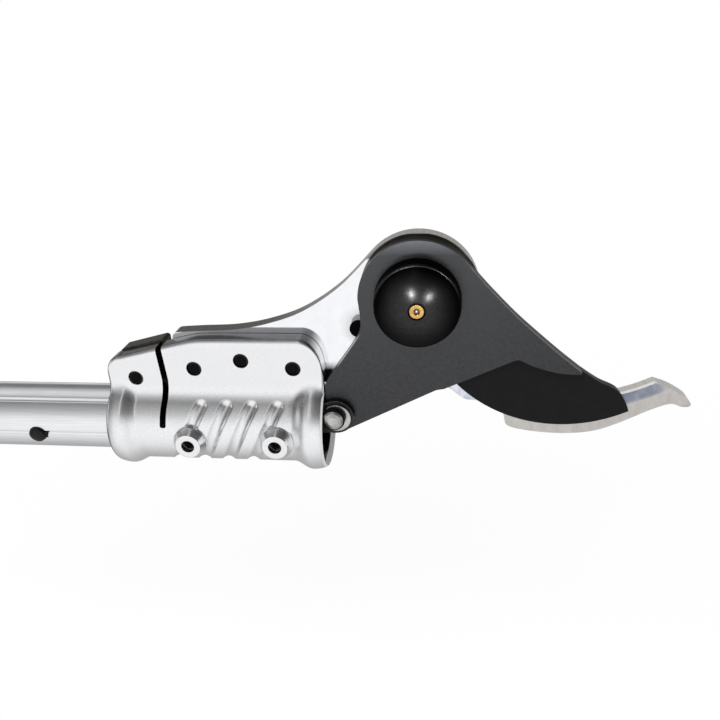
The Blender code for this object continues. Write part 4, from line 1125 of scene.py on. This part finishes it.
def set_screw(number, centre):
    face, tip, key_r = 17.2, POLE_R + 0.55, 1.35
    place = (centre[0], 0, centre[1])
    profile = [(0, face), (SET_SCREW_R - 0.3, face), (SET_SCREW_R, face - 0.3), (SET_SCREW_R, tip + 0.5),
               (1.4, tip), (0, tip)]
    screw = turned(f"grub_screw_{number}", profile, place, TO_FRONT, "blackened_steel", "pole", 48)
    key = [(0, face + 1), (key_r, face + 1), (key_r, face - 2), (0, face - 2.6)]
    cut(screw, turned("key", key, place, TO_FRONT, steps=6))
    resharpen(screw, 30)
    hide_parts(f"set_screw_{number}")
    return screw


socket_spacer()
print("rivets:", [frame_rivet(n, c).name for n, c in enumerate(RIVETS, 1)])
print("screws:", [set_screw(n, c).name for n, c in enumerate(BOSSES, 1)])

# %% [markdown]
# ## Plates
#
# The hook plate, the lever and the blade are flat pieces, cut from sheet. Each one is an outline with its holes,
# pushed out to its thickness, and its edges are softened a little, so that they catch a line of light. The
# hook's inner edge and the blade's edge are ground, and a swept wedge takes that metal away.

# %% Hook plate
HEAD_R, LEVER_HEAD_R, STOP_R = 21.8, 20.9, 3.2
BOLT_R, BUSH_R = 6.0, 11.0
THROAT_LINE = ((260.0, 14.0, 0.2), (268.0, 10.7, 2.6), (278.0, 9.6, 4.0), (290.0, 10.8, 4.2),
               (300.3, 13.4, 4.4), (306.8, 15.7, 4.4), (312.4, 18.4, 4.4), (319.0, 22.2, 4.4))
THROAT_DEPTH = 0.7       # of the ground bevel, whose width is the third number of each place on its line


def hook_outline():
    """Bottom edge, hook, cutting edge, round head about the pivot, and the swept top."""
    corner = rounded([(133.6, 17.0), (160.0, 17.0), (160.0, 38.5), (133.6, 37.2)], [1.5, 0, 0, 2.5])
    corner = [p for p in corner if p[0] < 150]
    left_end = corner[len(corner) // 2:] + corner[:len(corner) // 2]
    under = smooth([(229.0, 17.0), (236.5, 16.3), (243.8, 11.1), (249.1, 10.1), (258.3, 5.2), (260.2, 0.0),
                    (268.0, -2.2), (280.5, -3.1), (291.6, -1.9), (300.3, 1.5), (311.9, 7.8), (318.3, 10.3),
                    (322.4, 9.2), (324.7, 9.2)], 8)
    tip = smooth([(324.7, 9.2), (325.5, 9.8), (325.3, 10.9), (323.3, 13.1), (317.8, 16.4), (312.4, 18.4)], 8)[1:]
    bite = smooth([(312.4, 18.4), (306.8, 15.7), (300.3, 13.4), (290.0, 10.8), (278.0, 9.6), (266.0, 11.2),
                   (256.5, 16.0), (250.5, 23.5), (247.6, 32.0), (246.9, 44.6)], 8)[1:-1]
    head = arc(PIVOT, HEAD_R, -22, 137, 90)
    top = smooth([head[-1], (198.7, 55.5), (184.8, 46.1), (171.3, 41.1), (158.4, 38.6), (145.0, 37.9),
                  (138.0, 37.5)], 10)[1:]
    return left_end + under + tip + bite + head + top


def throat_grinder():
    """A wedge along the hook's cutting edge."""
    front, spare = PLATE_Y[0], 3.0
    fine = smooth(THROAT_LINE, 6)
    line = [Vector(point[:2]) for point in fine]
    rings = []
    for i, (x, z, width) in enumerate(fine):
        along = (line[min(i + 1, len(line) - 1)] - line[max(i - 1, 0)]).normalized()
        inward = Vector((along.y, -along.x))
        fall = THROAT_DEPTH / 4.0
        wedge = ((width, front - 0.01), (-spare, front - 4.0), (-spare, front + fall * (width + spare)))
        rings.append([(x + inward.x * r, y, z + inward.y * r) for r, y in wedge])
    return loft("throat_grinder", rings)


def hook_plate():
    holes = [circle(PIVOT, BOLT_R + GAP, 72), circle(STOP, 1.8 + GAP, 40)]
    holes += [circle(centre, RIVET_R + GAP, 48) for centre in RIVETS[1:]]
    hook = plate("polished_hook_plate", [hook_outline()] + holes, PLATE_Y, "polished_steel", "pole", 0.25)
    hook.modifiers.clear()
    cut(hook, throat_grinder())
    soften(hook, 0.25, 12)
    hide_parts("hook_plate")
    return hook


print("hook plate faces:", len(hook_plate().data.polygons))

# %% Lever
UPPER_EDGE = ((284.6, 25.5), (276.2, 32.4), (265.5, 41.9), (259.4, 47.7), (251.9, 55.6), (247.2, 60.9))
HEAD_FROM = 39.0        # degrees, where the upper edge runs into the head
PIN_R = 3.0


def lever_plate():
    lower = [(192.3, 1.2), (192.8, -0.6), (194.2, -1.4), (196.9, -1.2), (233.4, 17.9), (236.2, 18.4),
             (261.0, 30.2), (262.6, 30.4)]
    lower = rounded(lower, [1.5, 1.2, 1.2, 1.5, 3, 3, 1.2, 0], 5, False)
    scallop = smooth([(262.6, 30.4), (268.2, 27.7), (276.8, 25.3), (283.8, 24.9)], 10)[1:]
    head = arc(PIVOT, LEVER_HEAD_R, HEAD_FROM, 180, 90)
    left = smooth([head[-1], (206.4, 46.0), (206.1, 41.5), (203.2, 36.0), (195.9, 25.4), (192.6, 19.6),
                   (192.2, 12.0)], 10)[1:]
    holes = [circle(PIVOT, BUSH_R + GAP, 80), circle(PIN, PIN_R + 0.2, 48)]
    outline = lower + scallop + smooth(UPPER_EDGE + (head[0],), 10)[:-1] + head + left
    lever = plate("coated_lever", [outline] + holes, LEVER_Y, "dark_lever_coating", "lever", 0.3)
    lever.visible_glossy = False        # the photograph's polished plate shows no image of the lever
    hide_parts("lever_plate")
    return lever


lever = lever_plate()
lit_by_strip = bpy.data.collections.new("lever_alone")
lit_by_strip.objects.link(lever)
SHEEN_LAMP.light_linking.receiver_collection = lit_by_strip
print("lever faces:", len(lever.data.polygons))

# %% Blade
BLADE_EDGE = ((239.9, 18.8), (272.6, 2.4), (303.1, 8.2))      # three points on a circle
BEVEL_WIDTH = 0.9


def edge_grinder(centre, radius):
    """A wedge swept round the cutting edge."""
    front, back = BLADE_Y
    land = back - 0.35
    wedge = ((radius - BEVEL_WIDTH, front - 0.01), (radius + 6.0, front - 3.0), (radius + 6.0, land),
             (radius - 0.05, land))
    ends = (BLADE_EDGE[0], BLADE_EDGE[2])
    first, last = (math.degrees(math.atan2(z - centre[1], x - centre[0])) for x, z in ends)
    rings = []
    for degrees in [first - 3 + (last - first + 6) * i / 70 for i in range(71)]:
        turn = math.radians(degrees)
        rings.append([(centre[0] + r * math.cos(turn), y, centre[1] + r * math.sin(turn)) for r, y in wedge])
    return loft("edge_grinder", rings)


def cutting_blade():
    """The cutting edge is one arc. The arm to the drive pin ends where it would touch the bump stop."""
    edge, centre = arc_through(*BLADE_EDGE, 70)
    back = smooth([edge[-1], (302.3, 10.8), (300.2, 14.8), (297.4, 17.9), (291.3, 20.9), (284.6, 25.5)], 8)[1:-1]
    arm = Vector((PIN[0] - PIVOT[0], PIN[1] - PIVOT[1])).normalized()
    beside = Vector((arm.y, -arm.x))
    clear_of_stop = (Vector(STOP) - Vector(PIVOT)).dot(beside) - STOP_R - GAP
    along = math.sqrt(LEVER_HEAD_R ** 2 - clear_of_stop ** 2)
    notch = Vector(PIVOT) + arm * along + beside * clear_of_stop
    meet = math.degrees(math.atan2(notch.y - PIVOT[1], notch.x - PIVOT[0])) % 360
    head = arc(PIVOT, LEVER_HEAD_R, HEAD_FROM, meet, 90)
    lean = math.degrees(math.atan2(beside.y, beside.x)) % 360
    foot = arc(PIN, 5.8, lean, lean + 150, 40)
    outline = edge + back + smooth(UPPER_EDGE + (head[0],), 10)[:-1] + head + foot + [(232.0, 17.2)]
    holes = [circle(PIVOT, BUSH_R + GAP, 80), circle(PIN, PIN_R + 0.2, 48)]
    blade = plate("ground_blade", [outline] + holes, BLADE_Y, "black_blade_coating", "lever", 0.15)
    blade.modifiers.clear()
    cut(blade, edge_grinder(centre, math.dist(centre, edge[0])))
    soften(blade, 0.12, 35)
    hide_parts("cutting_blade")
    return blade


print("blade faces:", len(cutting_blade().data.polygons))

# %% [markdown]
# ## Turned pieces about the pivot
#
# Everything here came off a lathe, so each piece is a profile turned about the pivot: the domed nut with its
# step, the brass oiler with its ball, and behind them the bush, the bolt and its washer.

# %% Dome, oiler and ball
CAP_R, CAP_RIM, CAP_RISE, OILER_R = 15.1, 6.5, 5.1, 2.85
CAP_BASE = -LEVER_Y[0] + GAP
CAP_TOP = CAP_BASE + CAP_RIM + CAP_RISE - 0.3


def about_pivot(name, profile, slot, node, **options):
    """Turns a profile about the pivot. Heights run towards the front."""
    piece = turned(name, profile, (PIVOT[0], 0, PIVOT[1]), TO_FRONT, slot, "pole", **options)
    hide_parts(node)
    return piece


def pivot_cap():
    rim = CAP_BASE + CAP_RIM + 0.6
    seat = OILER_R + 0.05
    dome = arc_through((seat, CAP_TOP), (9.0, CAP_TOP - 1.6), (14.3, rim), 40)[0]
    dome = [(seat, CAP_TOP - 0.4), (seat + 0.1, CAP_TOP - 0.07)] + dome[1:]
    side = rounded([(14.3, rim), (CAP_R - 0.4, rim), (CAP_R - 0.2, rim - 1.2), (CAP_R, CAP_BASE),
                    (CAP_R - 2, CAP_BASE)], [0, 0.3, 0.6, 0.5, 0], 5, False)
    profile = [(0, CAP_TOP - 4.2), (seat, CAP_TOP - 4.2)] + dome + side[1:]
    profile += [(BOLT_R + GAP, CAP_BASE), (BOLT_R + GAP, CAP_BASE + 5.4), (0, CAP_BASE + 5.4)]
    return about_pivot("domed_nut", profile, "blackened_steel", "pivot_cap", steps=160)


def ball_oiler():
    reach, face = OILER_R - 0.3, CAP_TOP - 0.05
    lip = [(0, face - 2.4), (1.0, face - 2.4), (1.0, face - 0.25), (1.3, face), (reach, face),
           (reach, face - 4.0), (0, face - 4.0)]
    lip = rounded(lip, [0, 0, 0.15, 0.12, 0.35, 0, 0], 5, False)
    return about_pivot("brass_oiler", lip, "brass", "ball_oiler", steps=72)


def oiler_ball():
    half_round = arc((0, CAP_TOP - 1.0), 0.85, 90, -90, 24)
    profile = [(max(0.0, r) if abs(r) > 1e-9 else 0, h) for r, h in half_round]
    return about_pivot("steel_ball", profile, "turned_steel", "oiler_ball", steps=48)


cap = pivot_cap()
cap.data.materials[0] = blackened_dome()
oiler = ball_oiler()
ball = oiler_ball()
lit_by_lamps = bpy.data.collections.new("dome_and_oiler")
for piece in (cap, oiler, ball):
    lit_by_lamps.objects.link(piece)
for small_lamp in DOME_LAMPS:
    small_lamp.light_linking.receiver_collection = lit_by_lamps
print("dome faces:", len(cap.data.polygons))

# %% Bush, bolt and washer
WASHER_FRONT = -PLATE_Y[1] - GAP
WASHER_BACK = WASHER_FRONT - 1.5
BOLT_HEAD = 5.0


def pivot_ring(name, high, low, node):
    """A ring of steel round the bolt, as wide as the bush."""
    inner = BOLT_R + GAP
    profile = rounded([(BUSH_R, high), (BUSH_R, low), (inner, low), (inner, high)], 0.3, 3)
    return about_pivot(name, profile, "turned_steel", node, steps=96, ring=True)


def pivot_bolt():
    top = WASHER_BACK - GAP                 # the head's flat side
    low, tip, corner = top - BOLT_HEAD, CAP_BASE + 5.0, 9.8
    shank = [(0, tip), (BOLT_R - 0.6, tip), (BOLT_R, tip - 0.6), (BOLT_R, top - 1.0), (0, top - 1.0)]
    bolt = about_pivot("hexagon_bolt", shank, "turned_steel", "pivot_bolt", steps=72)
    place = (PIVOT[0], 0, PIVOT[1])
    hexagon = turned("hexagon", [(0, top), (corner, top), (corner, low), (0, low)], place, TO_FRONT, steps=6)
    crown = [(0, top), (8.3, top), (corner, top - 0.6), (corner, low + 0.8), (8.2, low), (0, low)]
    cone = turned("crown", crown, place, TO_FRONT, steps=72)
    cut(hexagon, cone, operation="INTERSECT")
    cut(bolt, hexagon, operation="UNION")
    resharpen(bolt, 25)
    return bolt


pivot_ring("bearing_bush", -LEVER_Y[0] - GAP, -PLATE_Y[0] + GAP, "pivot_bush")
pivot_ring("flat_washer", WASHER_FRONT, WASHER_BACK, "pivot_washer")
print("bolt faces:", len(pivot_bolt().data.polygons))

# %% [markdown]
# The bump stop is moulded rubber: a thin disc on a stem that plugs into the hook plate.

# %% Bump stop
STOP_DISC, STEM_R, STEM_END = 1.3, 1.8, -4.6


def bump_stop():
    front, face = -BLADE_Y[0] - 0.1, -PLATE_Y[0] + GAP
    under = front - STOP_DISC
    profile = [(0, front), (STOP_R, front), (STOP_R, under), (STEM_R, under - 0.3), (STEM_R, face),
               (STEM_R, STEM_END), (0, STEM_END)]
    profile = rounded(profile, [0, 0.4, 0.2, 0.2, 0, 0.3, 0], 5, False)
    stop = turned("rubber_stop", profile, (STOP[0], 0, STOP[1]), TO_FRONT, "black_rubber", "pole", 64)
    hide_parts("bump_stop")
    return stop


print("stop faces:", len(bump_stop().data.polygons))

# %% [markdown]
# ## Link and drive pin
#
# The link is a forged bar: a round head on the drive pin, jaws on both sides of the lever, and a tail in the
# rod's fork. Forging leaves soft rims, so its edges are rounded more than the plates' edges. The pin has a
# domed front end, with a light washer and a dark clip behind it.

# %% Drive link
LINK_LENGTH, LINK_BOSS_R, LINK_HEAD_R, LINK_BAR, TAIL_EYE_R = 40.0, 6.7, 6.4, 4.5, 4.4
TAIL = (PIN[0] - math.sqrt(LINK_LENGTH ** 2 - PIN[1] ** 2), 0.0)
JAW_Y, FORK_SLOT_END = (-10.4, 4.4), 184.6


def link_side():
    """The link from the side: a large eye on the drive pin, a waist, and the tail's eye."""
    lean = math.degrees(math.atan2(PIN[1] - TAIL[1], PIN[0] - TAIL[0]))
    head = arc(PIN, LINK_BOSS_R, lean - 92, lean + 92, 48)
    tail = arc(TAIL, LINK_HEAD_R, lean + 118, lean + 242, 40)
    axis = Vector((math.cos(math.radians(lean)), math.sin(math.radians(lean))))
    across = Vector((-axis.y, axis.x))
    upper = [(31.0, LINK_HEAD_R - 1.0), (26.5, LINK_BAR), (9.0, LINK_BAR)]
    above = [tuple(Vector(TAIL) + axis * along + across * height) for along, height in upper]
    below = [tuple(Vector(TAIL) + axis * along - across * height) for along, height in reversed(upper)]
    return head + above + tail + below


def drive_link():
    holes = [circle(TAIL, TAIL_EYE_R, 48), circle(PIN, PIN_R + 0.1, 48)]
    link = plate("forged_link", [link_side()] + holes, JAW_Y, "blackened_steel", "link", 0.2)
    link.modifiers.clear()
    waist, spare = 3.9, 3.0
    cutters = []
    for outer in JAW_Y:
        sign = math.copysign(1, outer)
        plan = [(TAIL[0] - 12, outer + sign * spare), (TAIL[0] - 12, sign * waist), (166.5, sign * waist),
                (184.0, outer), (184.0, outer + sign * spare)]
        cutters.append(loft("waist", [[(x, y, z) for x, y in plan] for z in (-FAR, FAR)]))
    # The lever and the blade run between the jaws.
    cutters.append(box("slot", (FORK_SLOT_END, LEVER_Y[0] - GAP, -FAR), (FAR * 4, BLADE_Y[1] + GAP, FAR)))
    cut(link, *cutters)
    join_flat(link)
    soften(link, 1.1, 40, 5)
    link.data.materials[0] = forged_black()
    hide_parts("drive_link")
    return link


def join_flat(item):
    """Joins the flat faces that a cut leaves in pieces, so that a bevel runs cleanly round them."""
    work = bmesh.new()
    work.from_mesh(item.data)
    bmesh.ops.remove_doubles(work, verts=work.verts, dist=0.00001)
    bmesh.ops.dissolve_limit(work, angle_limit=math.radians(0.5), verts=work.verts, edges=work.edges)
    work.to_mesh(item.data)
    work.free()


print("link faces:", len(drive_link().data.polygons))

# %% Drive pin, washer and clip
PIN_LEAN = (0.5, 0.9)        # how far the worn pin's front leans to the left and up
WASHER_OFF = (0.3, 0.25)     # its washer hangs off centre by its clearance


def about_pin(name, profile, slot, node, **options):
    piece = turned(name, profile, (PIN[0], 0, PIN[1]), TO_FRONT, slot, "lever", **options)
    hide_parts(node)
    return piece


def drive_pin():
    rear, front = -JAW_Y[1] - GAP, -JAW_Y[0]
    neck = front + 3.9
    dome = rounded([(0, neck + 1.5), (1.7, neck + 1.5), (2.1, neck + 1.3), (3.1, neck + 0.8), (3.7, neck + 0.2)],
                   [0, 0.1, 0, 0.9, 0], 5, False)
    head = rounded([(PIN_R - 0.2, rear), (4.6, rear), (4.6, rear - 1.6), (0, rear - 1.6)], [0, 0.2, 0.5, 0], 4, False)
    profile = dome + [(3.7, neck), (PIN_R - 0.2, neck)] + head
    pin = about_pin("headed_pin", profile, "turned_steel", "drive_pin", steps=96)
    lean_front(pin, -front - 1.0)
    return pin


def lean_front(item, start):
    """Moves what stands in front of `start` a little to the left and up."""
    for vertex in item.data.vertices:
        if vertex.co.y < start * MM:
            vertex.co.x -= PIN_LEAN[0] * MM
            vertex.co.z += PIN_LEAN[1] * MM


def pin_ring(name, low, high, outer, slot, node):
    inner = PIN_R + 0.1
    profile = rounded([(outer, high), (outer, low), (inner, low), (inner, high)], 0.12, 3)
    return about_pin(name, profile, slot, node, steps=96, ring=True)


pin = drive_pin()
washer = pin_ring("light_washer", -JAW_Y[0] + GAP, -JAW_Y[0] + 1.3, 5.4, "turned_steel", "pin_washer")
washer.data.transform(Matrix.Translation(Vector((WASHER_OFF[0], 0.0, WASHER_OFF[1])) * MM))
clip = pin_ring("dark_clip", -JAW_Y[0] + 1.5, -JAW_Y[0] + 3.75, 4.3, "blackened_steel", "pin_circlip")
lean_front(clip, 0.0)
clip.data.materials[0] = moulded("black_oxide_clip", "050505", "0b0b0b", 0.5, 0.1)
print("pin, washer and clip faces:", *[len(piece.data.polygons) for piece in (pin, washer, clip)])

# %% [markdown]
# ## Drive inside the pole
#
# The screw drive hides in the tube, and only the fork shows when the jaw opens. The model's own solids serve
# here. A weld joins their points again, a small bevel takes off the sharp edges, and the finishes come last.

# %% Solids that stay
replaced = 0
for node_name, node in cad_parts.items():
    if node.hide_render:
        replaced += 1
        continue
    node.modifiers.new("weld", "WELD").merge_threshold = 0.000005
    bevel = node.modifiers.new("edges", "BEVEL")
    bevel.width = 0.15 * MM
    bevel.segments = 2
    bevel.limit_method = "ANGLE"
    bevel.angle_limit = math.radians(40)
    node.modifiers.new("faces", "WEIGHTED_NORMAL").keep_sharp = False
    for held in node.material_slots:
        held.material = FINISHES[held.material.name.split(".")[0]]
print(replaced, "nodes have a finer piece,", len(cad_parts) - replaced, "stay")
